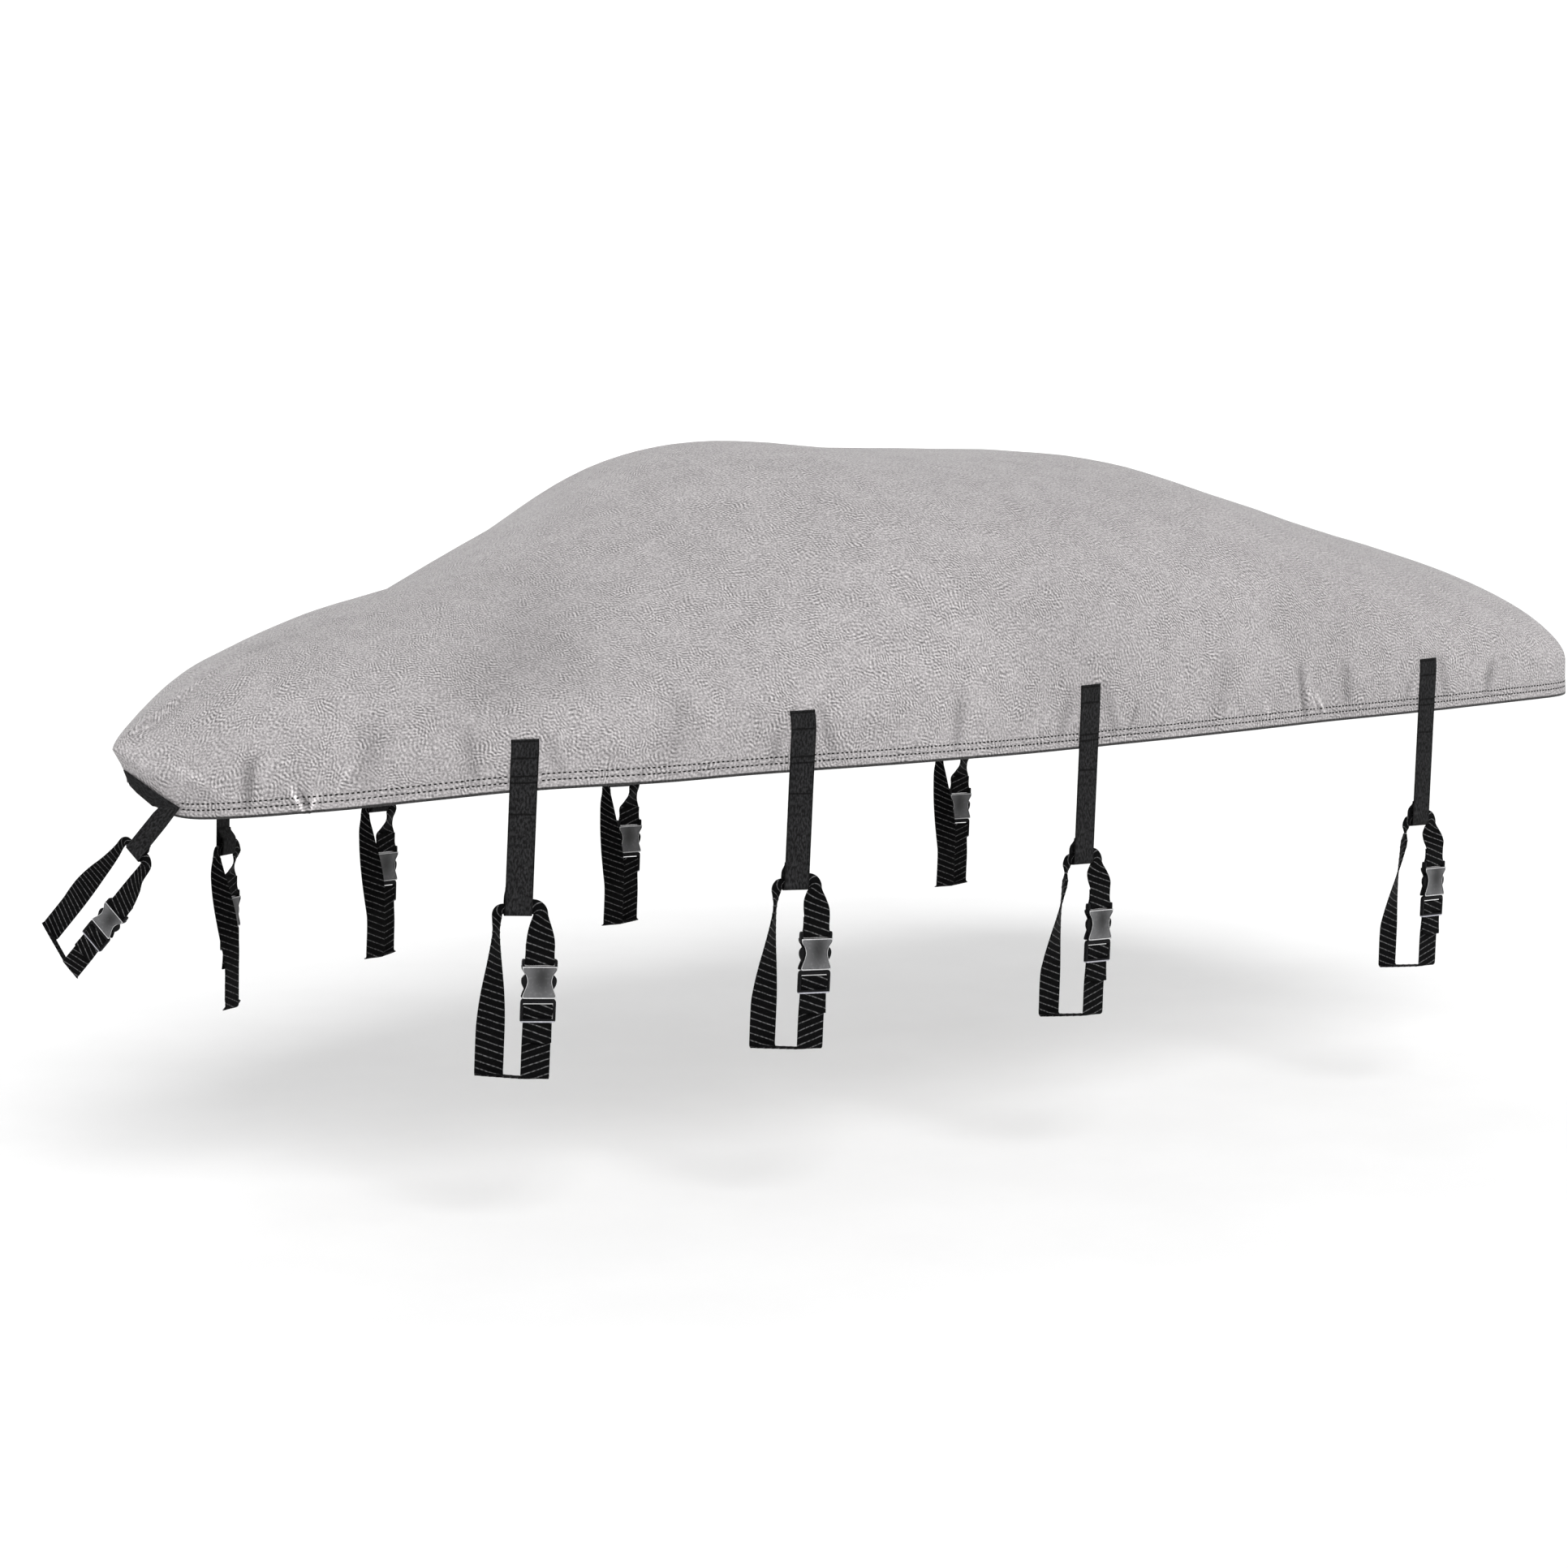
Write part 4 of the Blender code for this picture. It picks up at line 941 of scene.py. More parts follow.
def through_ladder(shape):
    """Up behind the ladder, over its middle bar, down through the lower slot to the hanging tail."""
    bar_foot, bar_top = BAR_MIDDLE
    found = [flat(in_buckle(shape, LAYER, height)) for height in (-BAR_LEAD, bar_top - BAR_LEAD)]
    for i in range(6):
        a = math.pi * (i + 0.5) / 6
        place = in_buckle(shape, LAYER - WRAP + WRAP * math.cos(a), bar_top + WRAP * math.sin(a))
        found.append(flat(place, out=(0, -math.cos(a), -math.sin(a))))
    front = (
        (LAYER - 2 * WRAP, bar_top - BAR_LEAD, 0),
        (LAYER - 2 * WRAP, bar_foot, 0.15),
        (0.0004, BAR_BOTTOM[1], 0.15),
        (0.0003, -BAR_LEAD, 0),
        (-0.0010, -TAIL * 0.6, 0),
        (-0.0030, -TAIL, 0),
    )
    for depth, height, tip in front:
        found.append(flat(in_buckle(shape, depth, height), out=(0, 1, tip)))
    return found


def loop_stations(shape):
    """The whole run of the loop's webbing, from its sewn end to its tail."""
    parts = strand_over_hold_bar(shape)
    parts += strand(FRONT_STRAND, shape, turn_x(1, TUNNEL_FRONT), shape.front_x)[::-1]
    parts += gathered_turn(1, TUNNEL_FRONT)[::-1] + gathered_turn(-1, TUNNEL_BACK)
    parts += strand(BACK_STRAND, shape, turn_x(-1, TUNNEL_BACK), shape.back_x)
    parts += rail_wrap(shape) + through_ladder(shape)
    kept = [parts[0]]
    for centre, across, out in parts[1:]:
        across = across if across.dot(kept[-1][1]) >= 0 else -across
        out = out if out.dot(kept[-1][2]) >= 0 else -out
        kept.append((centre, across, out))
    return kept


# ---------------------------------------------------------------- the buckle's two halves
def extruded(outline, low, high):
    """A closed plate: the outline is (x, z) points, and the thickness runs along y."""
    n = len(outline)
    points = [(x, y, z) for y in (low, high) for x, z in outline]
    faces = [tuple(range(n)), tuple(range(2 * n - 1, n - 1, -1))]
    faces += [(i, i + n, (i + 1) % n + n, (i + 1) % n) for i in range(n)]
    return points, faces


def box_shape(low, high):
    (left, front, foot), (right, back, head) = low, high
    return extruded([(left, foot), (right, foot), (right, head), (left, head)], front, back)


def both_halves(half):
    return half + [(-x, z) for x, z in reversed(half) if x > 0]


def rounded(outline, times=2):
    """Cuts the corners of a closed outline, again and again."""
    for _ in range(times):
        cut = []
        for k, (x, z) in enumerate(outline):
            after_x, after_z = outline[(k + 1) % len(outline)]
            step = min(0.25, CORNER_CUT / max(1e-6, math.hypot(after_x - x, after_z - z)))
            for share in (step, 1 - step):
                cut.append((x + (after_x - x) * share, z + (after_z - z) * share))
        outline = cut
    return outline


def solid_object(name, points, faces):
    mesh = mesh_of(name, points, faces)
    shape = bmesh.new()
    shape.from_mesh(mesh)
    bmesh.ops.recalc_face_normals(shape, faces=shape.faces)
    shape.to_mesh(mesh)
    shape.free()
    made = bpy.data.objects.new(name, mesh)
    bpy.context.scene.collection.objects.link(made)
    return made


def cut_mesh(name, blank, cuts, bevel):
    """The blank less every cut, each being (points, faces), with its sharp edges rounded. Its UV map is
    its own x and z."""
    source = solid_object(name, *blank)
    helpers = [source]
    for k, shape in enumerate(cuts):
        cutter = solid_object(f"{name}_cut_{k}", *shape)
        helpers.append(cutter)
        cut = source.modifiers.new(cutter.name, "BOOLEAN")
        cut.operation = "DIFFERENCE"
        cut.object = cutter
    round_over = source.modifiers.new("edges", "BEVEL")
    round_over.width = bevel
    round_over.segments = 3
    round_over.limit_method = "ANGLE"
    round_over.angle_limit = math.radians(38)
    round_over.use_clamp_overlap = True
    # the rounded edges take the rim's material, a painted highlight
    round_over.material = RIM_SLOT
    bpy.context.view_layer.update()
    graph = bpy.context.evaluated_depsgraph_get()
    mesh = bpy.data.meshes.new_from_object(source.evaluated_get(graph))
    mesh.name = name
    for helper in helpers:
        bpy.data.objects.remove(helper)
    mesh.shade_smooth()
    mesh.set_sharp_from_angle(angle=math.radians(35))
    layer = mesh.uv_layers.new(name="UVMap")
    corners = [mesh.vertices[loop.vertex_index].co for loop in mesh.loops]
    layer.data.foreach_set("uv", [value for corner in corners for value in (corner.x, corner.z)])
    return mesh


def ladder_mesh(bevel):
    """The latch half: a ladder that grips the webbing, with a tongue and two sprung arms above it."""
    wide, rail, top = BUCKLE_WIDTH / 2, BUCKLE_WIDTH / 2 - RAIL_BAR, LADDER_LENGTH
    right_half = [
        (wide - 0.002, 0.0),
        (wide, 0.004),
        (wide, top - 0.006),
        (wide - 0.004, top),
        (0.034, top),
        (0.036, top + 0.022),
        (0.0445, top + 0.038),
        (0.0450, top + 0.052),
        (0.034, top + 0.064),
        (0.028, top + 0.060),
        (0.026, top + 0.020),
        (0.020, top + 0.006),
        (0.008, top + 0.006),
        (0.006, top + 0.056),
    ]
    blank = extruded(rounded(both_halves(right_half)), -LADDER_THICK / 2, LADDER_THICK / 2)
    past, deep = 0.001, LADDER_THICK
    front, back = MIDDLE_BAR_FACES
    cuts = [
        box_shape((-rail, -deep, BAR_BOTTOM[1]), (rail, deep, BAR_MIDDLE[0])),
        box_shape((-rail, -deep, BAR_MIDDLE[1]), (rail, deep, BAR_TOP[0])),
        box_shape((-rail, LOWER_BAR_BACK, BAR_BOTTOM[0] - past), (rail, deep, BAR_BOTTOM[1] + past)),
        box_shape((-rail, -deep, BAR_MIDDLE[0] - past), (rail, front, BAR_MIDDLE[1] + past)),
        box_shape((-rail, back, BAR_MIDDLE[0] - past), (rail, deep, BAR_MIDDLE[1] + past)),
    ]
    return cut_mesh("buckle_latch", blank, cuts, bevel)


def socket_mesh(bevel):
    """The socket half: two waisted plates joined at the head, with a bar there that holds the webbing.
    Its faces are let in a little inside a rim."""
    wide, rail = BUCKLE_WIDTH / 2, BUCKLE_WIDTH / 2 - RAIL_BAR
    foot, head = BODY_FOOT, BODY_HEAD
    right_half = [
        (wide - 0.001, foot),
        (wide - 0.003, foot + 0.010),
        (WAIST_HALF + 0.0040, foot + 0.028),
        (WAIST_HALF, foot + 0.044),
        (WAIST_HALF + 0.0040, foot + 0.060),
        (wide, foot + 0.074),
        (wide, head - 0.003),
        (wide - 0.003, head),
    ]
    blank = extruded(rounded(both_halves(right_half)), -BUCKLE_THICK / 2, BUCKLE_THICK / 2)
    deep, past = BUCKLE_THICK, 0.01
    slot_foot, bar_foot = head - HOLD_SLOT, head - HOLD_BAR
    cavity_head = slot_foot - CAVITY_BRIDGE
    bar_cut, bar_half = bar_foot - 0.001, HOLD_THICK / 2
    cuts = [
        box_shape((-wide - past, -CAVITY_HALF, foot - past), (wide + past, CAVITY_HALF, cavity_head)),
        box_shape((-rail, -deep, slot_foot), (rail, deep, bar_foot)),
        box_shape((-rail, -deep, bar_cut), (rail, -bar_half, head + past)),
        box_shape((-rail, bar_half, bar_cut), (rail, deep, head + past)),
        box_shape((-wide - past, -deep, slot_foot), (wide + past, -HEAD_HALF, head + past)),
        box_shape((-wide - past, HEAD_HALF, slot_foot), (wide + past, deep, head + past)),
    ]
    panel = [
        (wide - 0.0038, foot + 0.0035),
        (wide - 0.0055, foot + 0.0110),
        (WAIST_HALF + 0.0018, foot + 0.0290),
        (WAIST_HALF - 0.0022, foot + 0.0440),
        (WAIST_HALF + 0.0018, foot + 0.0590),
        (wide - 0.0028, foot + 0.0720),
        (wide - 0.0028, slot_foot - 0.0030),
    ]
    outline = rounded(both_halves(panel))
    face = BUCKLE_THICK / 2
    cuts.append(extruded(outline, -face - past, -face + FACE_DEPTH))
    cuts.append(extruded(outline, face - FACE_DEPTH, face + past))
    return cut_mesh("buckle_socket", blank, cuts, bevel)


# ---------------------------------------------------------------- materials
class Shader:
    """One material and short ways of adding nodes to it."""

    def __init__(self, name, roughness):
        self.material = bpy.data.materials.new(name)
        self.material.use_nodes = True
        self.tree = self.material.node_tree
        self.surface = self.tree.nodes["Principled BSDF"]
        self.wire(self.surface, {"Roughness": roughness})

    def wire(self, node, inputs):
        for key, value in inputs.items():
            if isinstance(value, bpy.types.NodeSocket):
                self.tree.links.new(value, node.inputs[key])
            else:
                node.inputs[key].default_value = value

    def add(self, kind, inputs, output=0, **settings):
        node = self.tree.nodes.new("ShaderNode" + kind)
        for key, value in settings.items():
            setattr(node, key, value)
        self.wire(node, inputs)
        return node.outputs[output]

    def place(self, kind):
        return self.add("TexCoord", {}, kind)

    def noise(self, place, scale, detail=2.0, distortion=0.0):
        inputs = {"Vector": place, "Scale": scale, "Detail": detail, "Distortion": distortion}
        return self.add("TexNoise", inputs, "Fac")

    def maths(self, operation, *values):
        return self.add("Math", dict(enumerate(values)), operation=operation)

    def remap(self, value, low, high, to_low, to_high):
        inputs = {"Value": value, "From Min": low, "From Max": high, "To Min": to_low, "To Max": to_high}
        return self.add("MapRange", inputs, interpolation_type="SMOOTHSTEP")

    def warped(self, place, scale, reach):
        """The place, pushed about by a noise."""
        drift = self.add("TexNoise", {"Vector": place, "Scale": scale, "Detail": 1.0}, "Color")
        drift = self.add("VectorMath", {0: drift, 1: (0.5, 0.5, 0.5)}, operation="SUBTRACT")
        drift = self.add("VectorMath", {0: drift, "Scale": reach}, operation="SCALE")
        return self.add("VectorMath", {0: place, 1: drift}, operation="ADD")

    def scaled(self, place, x, y, z=1.0):
        return self.add("Mapping", {"Vector": place, "Scale": (x, y, z)})

    def tinted(self, colour, *factors):
        """The colour times every factor."""
        found = self.add("CombineColor", {"Red": colour[0], "Green": colour[1], "Blue": colour[2]})
        for factor in factors:
            found = self.add("VectorMath", {0: found, "Scale": factor}, operation="SCALE")
        return found

    def mixed(self, share, first, second):
        return self.add("Mix", {0: share, 6: first, 7: second}, 2, data_type="RGBA")

    def finish(self, colour, bumps=()):
        """Sets the surface's colour and its bumps, each being (height, distance)."""
        self.wire(self.surface, {"Base Color": colour})
        below = {}
        for height, distance in bumps:
            below = {"Normal": self.add("Bump", {"Height": height, "Distance": distance, **below})}
        self.wire(self.surface, below)
        return self.material


def woven(shader, place, pitch):
    """A plain weave's height, for a place in metres: two crossed sets of threads."""
    threads = []
    for axis in ("X", "Y"):
        turns = shader.maths("MULTIPLY", shader.add("SeparateXYZ", {0: place}, axis), math.tau / pitch)
        threads.append(shader.maths("SINE", turns))
    return shader.maths("MULTIPLY", *threads)


def cloth_material(name, colour, crinkle):
    """Coated canvas with a slow drift of tone. Its coating is crinkled in short, nearly parallel
    strokes that turn this way and that, stronger in some places than in others, with a fine grain
    between them. The strokes carry painted shade and highlight, the creases painted shade in their
    troughs and painted highlight on their ridges, and painted shade lies in the stitch grooves, along
    the hem's lower edge and low on the cloth."""
    shader = Shader(name, 0.78)
    place, along = shader.place("Object"), shader.place("UV")
    tone = shader.remap(shader.noise(place, 1.7, 3.0), 0.3, 0.7, 0.975, 1.025)
    cloud = shader.remap(shader.noise(place, 8.0, 4.0), 0.3, 0.7, 0.975, 1.02)
    patch = shader.remap(shader.noise(place, 12.0, 2.0), 0.36, 0.64, 0.42, 0.96)
    drawn = {"Scale": 32.0, "Frequency": 3.3, "Anisotropy": 0.30}
    drawn["Vector"] = shader.warped(along, 9.0, 0.05)
    strokes = shader.add("TexGabor", drawn, "Value", gabor_type="2D")
    # painted shade and highlight of the crinkle: darker along each stroke, paler beside it
    lines = shader.remap(strokes, 0.27, 0.73, -0.60 * crinkle, 0.40 * crinkle)
    lines = shader.maths("ADD", shader.maths("MULTIPLY", lines, patch), 1.0)
    grain = shader.noise(place, 190.0, 2.5)
    speck = shader.remap(grain, 0.32, 0.68, 1 - 0.31 * crinkle, 1 + 0.27 * crinkle)
    up = shader.add("SeparateXYZ", {0: along}, "Y")
    # painted shadow: the hem's lowest few millimetres much darker, a contact shadow along its edge
    hem_edge_shadow = shader.remap(up, 0.0055, 0.0088, 0.08, 1.0)
    # painted shade: the cloth a little darker towards the hem
    low_shade = shader.remap(up, 0.0, 0.22, 0.94, 1.0)
    # painted shade in the grooves that the hem's two rows of stitching pull into the cloth
    low, high = STITCH_ROWS
    off = shader.maths("ABSOLUTE", shader.maths("SUBTRACT", up, (low + high) / 2))
    off = shader.maths("ABSOLUTE", shader.maths("SUBTRACT", off, (high - low) / 2))
    sewn = shader.remap(off, 0.0, STITCH_GROOVE_HALF, 0.90, 1.0)
    # painted shade in the creases' troughs and broad folds, painted highlight on their ridges
    relief = shader.add("Attribute", {}, "Fac", attribute_name=RELIEF)
    crease_shading = shader.remap(relief, -0.006, 0.006, 0.62, 1.36)
    # painted highlight along the creases' highest ridges
    highlit = shader.remap(relief, 0.0036, 0.0085, 1.0, 1.6)
    shader.wire(shader.surface, {"Sheen Weight": 0.08, "Sheen Roughness": 0.6})
    shader.wire(shader.surface, {"Specular IOR Level": 0.22})
    bumps = [
        (woven(shader, along, 0.0016), 0.00006),
        (grain, 0.0009 * crinkle),
        (shader.maths("MULTIPLY", strokes, patch), 0.0014 * crinkle),
    ]
    factors = (tone, cloud, lines, speck, hem_edge_shadow, low_shade, sewn, crease_shading, highlit)
    return shader.finish(shader.tinted(colour, *factors), bumps)


def strap_material(name, colour):
    """Flat webbing: mottled charcoal with a twill, darker edges and dark lines of stitching."""
    shader = Shader(name, 0.82)
    place = shader.place("UV")
    across, down = (shader.add("SeparateXYZ", {0: place}, axis) for axis in ("X", "Y"))
    mottle = shader.remap(shader.noise(shader.scaled(place, 200, 95), 1.0, 3.0), 0.36, 0.66, 0.36, 1.85)
    slow = shader.remap(shader.noise(shader.scaled(place, 26, 9), 1.0, 3.0), 0.3, 0.7, 0.85, 1.2)
    turns = shader.maths("MULTIPLY", shader.maths("ADD", across, down), math.tau / TWILL)
    twill = shader.remap(shader.maths("SINE", turns), -1.0, 1.0, 0.75, 1.25)
    off = shader.maths("ABSOLUTE", across)
    edge = shader.remap(off, STRAP_WIDTH / 2 - 0.0052, STRAP_WIDTH / 2 - 0.0022, 1.0, 0.4)
    sewn = shader.remap(shader.add("Attribute", {}, "Fac", attribute_name=SEAM), 0.1, 0.8, 1.0, 0.25)
    shader.wire(shader.surface, {"Specular IOR Level": 0.10})
    bumps = [(twill, 0.00018), (shader.noise(shader.scaled(place, 700, 700), 1.0), 0.0001)]
    return shader.finish(shader.tinted(colour, mottle, slow, twill, edge, sewn), bumps)


def loop_material(name, colour, rib, spacing):
    """Black webbing with a thin, paler rib slanting across it at every spacing."""
    shader = Shader(name, 0.62)
    place = shader.place("UV")
    across, down = (shader.add("SeparateXYZ", {0: place}, axis) for axis in ("X", "Y"))
    slant = shader.maths("MULTIPLY", across, RIB_SLANT)
    wander = shader.maths("MULTIPLY", shader.noise(shader.scaled(place, 30, 30), 1.0, 2.0), 0.0030)
    run = shader.maths("ADD", shader.maths("ADD", down, slant), wander)
    turns = shader.maths("DIVIDE", run, spacing)
    off = shader.maths("ABSOLUTE", shader.maths("SUBTRACT", shader.maths("FRACT", turns), 0.5))
    line = shader.remap(off, 0.0, RIB_HALF / spacing, 1.0, 0.0)
    broken = shader.remap(shader.noise(shader.scaled(place, 150, 60), 1.0, 2.0), 0.38, 0.62, 0.32, 1.0)
    mottle = shader.remap(shader.noise(shader.scaled(place, 420, 260), 1.0, 2.0), 0.3, 0.7, 0.6, 1.5)
    body = shader.tinted(colour, mottle)
    mixed = shader.mixed(shader.maths("MULTIPLY", line, broken), body, (*rib, 1.0))
    shader.wire(shader.surface, {"Specular IOR Level": 0.03})
    bumps = [(woven(shader, place, 0.0021), 0.00026), (line, 0.0005)]
    return shader.finish(mixed, bumps)


def plastic_material(name, colour, gloss, lit=None):
    """Moulded plastic with a slight grain, a little scuffed. lit gives a factor on its tone, a painted
    shade or highlight, from the shader and the piece's own x and z."""
    shader = Shader(name, PLASTIC_ROUGHNESS)
    shader.wire(shader.surface, {"Specular IOR Level": gloss})
    place = shader.place("Object")
    fine = shader.noise(place, 1900.0, 1.0)
    scuff = shader.remap(shader.noise(place, 130.0, 5.0), 0.45, 0.75, 0.0, 1.0)
    rough = shader.remap(scuff, 0, 1, PLASTIC_ROUGHNESS - 0.05, PLASTIC_ROUGHNESS + 0.12)
    shader.wire(shader.surface, {"Roughness": rough})
    factors = [shader.remap(scuff, 0.0, 1.0, 0.92, 1.22)]
    if lit:
        own = shader.place("UV")
        factors.append(lit(shader, *(shader.add("SeparateXYZ", {0: own}, axis) for axis in ("X", "Y"))))
    return shader.finish(shader.tinted(colour, *factors), [(fine, 0.00004), (scuff, 0.00003)])


def shaded_face(shader, x, z):
    """Painted shade in the middle of a socket's face, giving way to painted sheen at its edges."""
    (middle_x, middle_z), (wide, high) = SHADE_MIDDLE, SHADE_REACH
    squares = []
    for value, middle, reach in ((x, middle_x, wide), (z, middle_z, high)):
        share = shader.maths("DIVIDE", shader.maths("SUBTRACT", value, middle), reach)
        squares.append(shader.maths("POWER", share, 2.0))
    off = shader.maths("SQRT", shader.maths("ADD", *squares))
    return shader.remap(off, 0.0, 1.25, 0.34, 1.5)


def lip_highlight(shader, _, z):
    """Painted highlight along the latch's lower edge."""
    return shader.remap(z, LATCH_LIP * 0.7, LATCH_LIP * 1.3, 60.0, 1.0)


def thread_material(name, colour):
    """Twisted thread."""
    shader = Shader(name, 0.7)
    shader.wire(shader.surface, {"Specular IOR Level": 0.08})
    place = shader.place("Object")
    ply = shader.noise(place, 1500.0, 2.0)
    tone = shader.remap(ply, 0.3, 0.7, 0.7, 1.3)
    return shader.finish(shader.tinted(colour, tone), [(ply, 0.0002)])


def floor_material(name, colour):
    """Matt painted floor that glows a little, and more up its raised edge."""
    shader = Shader(name, 0.9)
    place = shader.place("Object")
    tone = shader.remap(shader.noise(place, 2.0, 4.0), 0.3, 0.7, 0.985, 1.01)
    shader.material.cycles.emission_sampling = "NONE"  # too even and wide to be worth aiming light from
    height = shader.add("SeparateXYZ", {0: place}, "Z")
    lit = shader.remap(height, FLOOR_Z, FLOOR_Z + STAGE_CURVE / 2, FLOOR_GLOW, WALL_GLOW)
    shader.wire(shader.surface, {"Emission Color": (1, 1, 1, 1), "Emission Strength": lit})
    shader.wire(shader.surface, {"Specular IOR Level": 0.1})
    return shader.finish(shader.tinted(colour, tone), [(shader.noise(place, 300.0, 2.0), 0.0001)])


# ---------------------------------------------------------------- settings
def size(name, description, default):
    settings = {"min": 0.0, "subtype": "DISTANCE", "unit": "LENGTH", "precision": 4}
    return FloatProperty(name=name, description=description, default=default, **settings)


def strength(name, description, most):
    """A factor on what is modelled."""
    settings = {"default": 1.0, "min": 0.0, "max": most, "subtype": "FACTOR"}
    return FloatProperty(name=name, description=description, **settings)


def colour(name, description, default):
    settings = {"size": 3, "min": 0.0, "max": 1.0, "subtype": "COLOR"}
    return FloatVectorProperty(name=name, description=description, default=default, **settings)


class BoatCoverSizes(bpy.types.PropertyGroup):
    """The sizes a user may change."""

    crease_depth: strength("Crease Depth", "How deep the cloth's creases are, 1 being as modelled", 2.0)
    # also scales the painted shade and highlight along the coating's strokes
    crinkle: strength("Crinkle", "How strongly the coating is crinkled", 3.0)
    stitch_length: size("Stitch Length", "Length of one stitch of the hem", 0.0082)
    stitch_pitch: size("Stitch Pitch", "From one stitch of the hem to the next", 0.0136)
    stitch_width: size("Stitch Width", "Thickness of the hem's thread", 0.0056)
    rib_spacing: size("Rib Spacing", "Between the ribs across the loops' webbing", 0.019)
    rib_height: size("Rib Height", "How far a rib stands up on the loops' webbing", 0.00045)
    buckle_edge: size("Buckle Edge", "Radius along the buckles' edges", 0.0015)


class BoatCoverColours(bpy.types.PropertyGroup):
    """The colours a user may change."""

    cloth: colour("Cloth", "Outer face of the cloth", (0.347, 0.331, 0.334))
    lining: colour("Lining", "Inner face of the cloth", (0.50, 0.49, 0.48))
    strap: colour("Strap", "Webbing of the sewn straps", (0.0112, 0.0112, 0.0117))
    web: colour("Loop Webbing", "Webbing of the loops", (0.0022, 0.0022, 0.0024))
    rib: colour("Rib", "The paler ribs across the loops' webbing", (0.150, 0.150, 0.152))
    buckle: colour("Buckle", "Plastic of the buckles", (0.006, 0.006, 0.0066))
    buckle_face: colour("Buckle Face", "The faces let into the buckles' sockets", (0.070, 0.070, 0.072))
    # a pale painted highlight along the buckles' edges
    buckle_rim_highlight: colour("Buckle Rim", "The buckles' rubbed edges", (0.42, 0.42, 0.425))
    thread: colour("Thread", "The hem's stitching", (0.010, 0.0095, 0.009))
    strap_thread: colour("Strap Thread", "The straps' stitching", (0.004, 0.004, 0.004))
    floor: colour("Floor", "The floor", (0.76, 0.76, 0.76))


# ---------------------------------------------------------------- operators
_made = {}  # both sides' finished cloth, by the crease depth that it was made with


def cloth_sides():
    """Each side's finished cloth, which the stitching and the straps lie on. It is made only once for
    a crease depth."""
    scale = bpy.context.scene.boat_cover_sizes.crease_depth
    if scale not in _made:
        _made.clear()
        _made[scale] = {side: make_cloth(side, scale) for _, side in SIDES}
    return _made[scale]


def cloth_mesh(sides):
    """Both sides in one mesh, joined at nose, transom and ridge, and each point's share of the hem's
    thickness."""
    columns, rows = sides[PORT].girth.shape
    points, relief, thickness, index = [], [], [], {}
    for side, cloth in sides.items():
        for i in range(columns):
            for j in range(rows):
                if side == STARBOARD and (i in (0, columns - 1) or j == rows - 1):
                    index[side, i, j] = index[PORT, i, j]
                    continue
                index[side, i, j] = len(points)
                points.append(cloth.points[i, j])
                relief.append(float(cloth.relief[i, j]))
                doubled = j < len(SKIRT_ROWS) and SKIRT_ROWS[j] <= HEM_SHARE
                thickness.append(1.0 if doubled else CLOTH / HEM_CLOTH)
    faces, uvs = [], []
    for side, cloth in sides.items():
        for i in range(columns - 1):
            for j in range(rows - 1):
                corners = ((i, j), (i + 1, j), (i + 1, j + 1), (i, j + 1))
                corners = corners if side == PORT else corners[::-1]
                faces.append([index[(side, *corner)] for corner in corners])
                uvs += [(-side * cloth.along[a], cloth.girth[a, b]) for a, b in corners]
    mesh = mesh_of("cover_cloth", points, faces, uvs)
    if sum(face.normal.z * face.area for face in mesh.polygons) < 0:
        mesh.flip_normals()
    mesh.attributes.new(RELIEF, "FLOAT", "POINT").data.foreach_set("value", relief)
    return mesh, thickness


class BOATCOVER_OT_cloth(bpy.types.Operator):
    """Add the cover's creased cloth with its doubled hem"""

    bl_idname = "boatcover.cloth"
    bl_label = "Cloth"

    def execute(self, context):
        mesh, thickness = cloth_mesh(cloth_sides())
        colours, crinkle = context.scene.boat_cover_colours, context.scene.boat_cover_sizes.crinkle
        materials = [
            cloth_material("cover_cloth", colours.cloth, crinkle),
            cloth_material("cover_lining", colours.lining, LINING_CRINKLE * crinkle),
        ]
        cover = finished("cover_cloth", mesh, materials, "cover_cloth", "cover")
        group = cover.vertex_groups.new(name="thickness")
        for share in set(thickness):
            group.add([k for k, value in enumerate(thickness) if value == share], share, "REPLACE")
        solid = cover.modifiers.new("cloth", "SOLIDIFY")
        solid.thickness = HEM_CLOTH
        solid.offset = -1.0
        solid.vertex_group = group.name
        solid.use_rim = True
        solid.material_offset = 1
        solid.material_offset_rim = 0
        return {"FINISHED"}


class BOATCOVER_OT_hem_stitching(bpy.types.Operator):
    """Add the two rows of stitches round the hem"""

    bl_idname = "boatcover.hem_stitching"
    bl_label = "Hem Stitching"

    def execute(self, context):
        sizes = context.scene.boat_cover_sizes
        seats = []
        for side, cloth in cloth_sides().items():
            start = BOW_STITCHING_START if side == PORT else 0.0
            count = int((HALF_HEM - start) / sizes.stitch_pitch)
            for girth in STITCH_ROWS:
                for k in range(count):
                    along = start + (k + 0.5) * sizes.stitch_pitch
                    if any(abs(along - place) < UNSTITCHED_HALF for place in STRAP_PLACES):
                        continue
                    place, normal = cloth.at(along, girth)
                    ahead, _ = cloth.at(min(along + NEAR / 2, HALF_HEM), girth)
                    behind, _ = cloth.at(along - NEAR / 2, girth)
                    seats.append((place - normal * STITCH_SINK, (ahead - behind).normalized(), normal))
        lengths = sizes.stitch_length, sizes.stitch_width, STITCH_HEIGHT
        mesh = stitches_mesh("hem_stitching", seats, *lengths)
        thread = thread_material("hem_thread", context.scene.boat_cover_colours.thread)
        finished("hem_stitching", mesh, [thread], "cover_cloth")
        return {"FINISHED"}


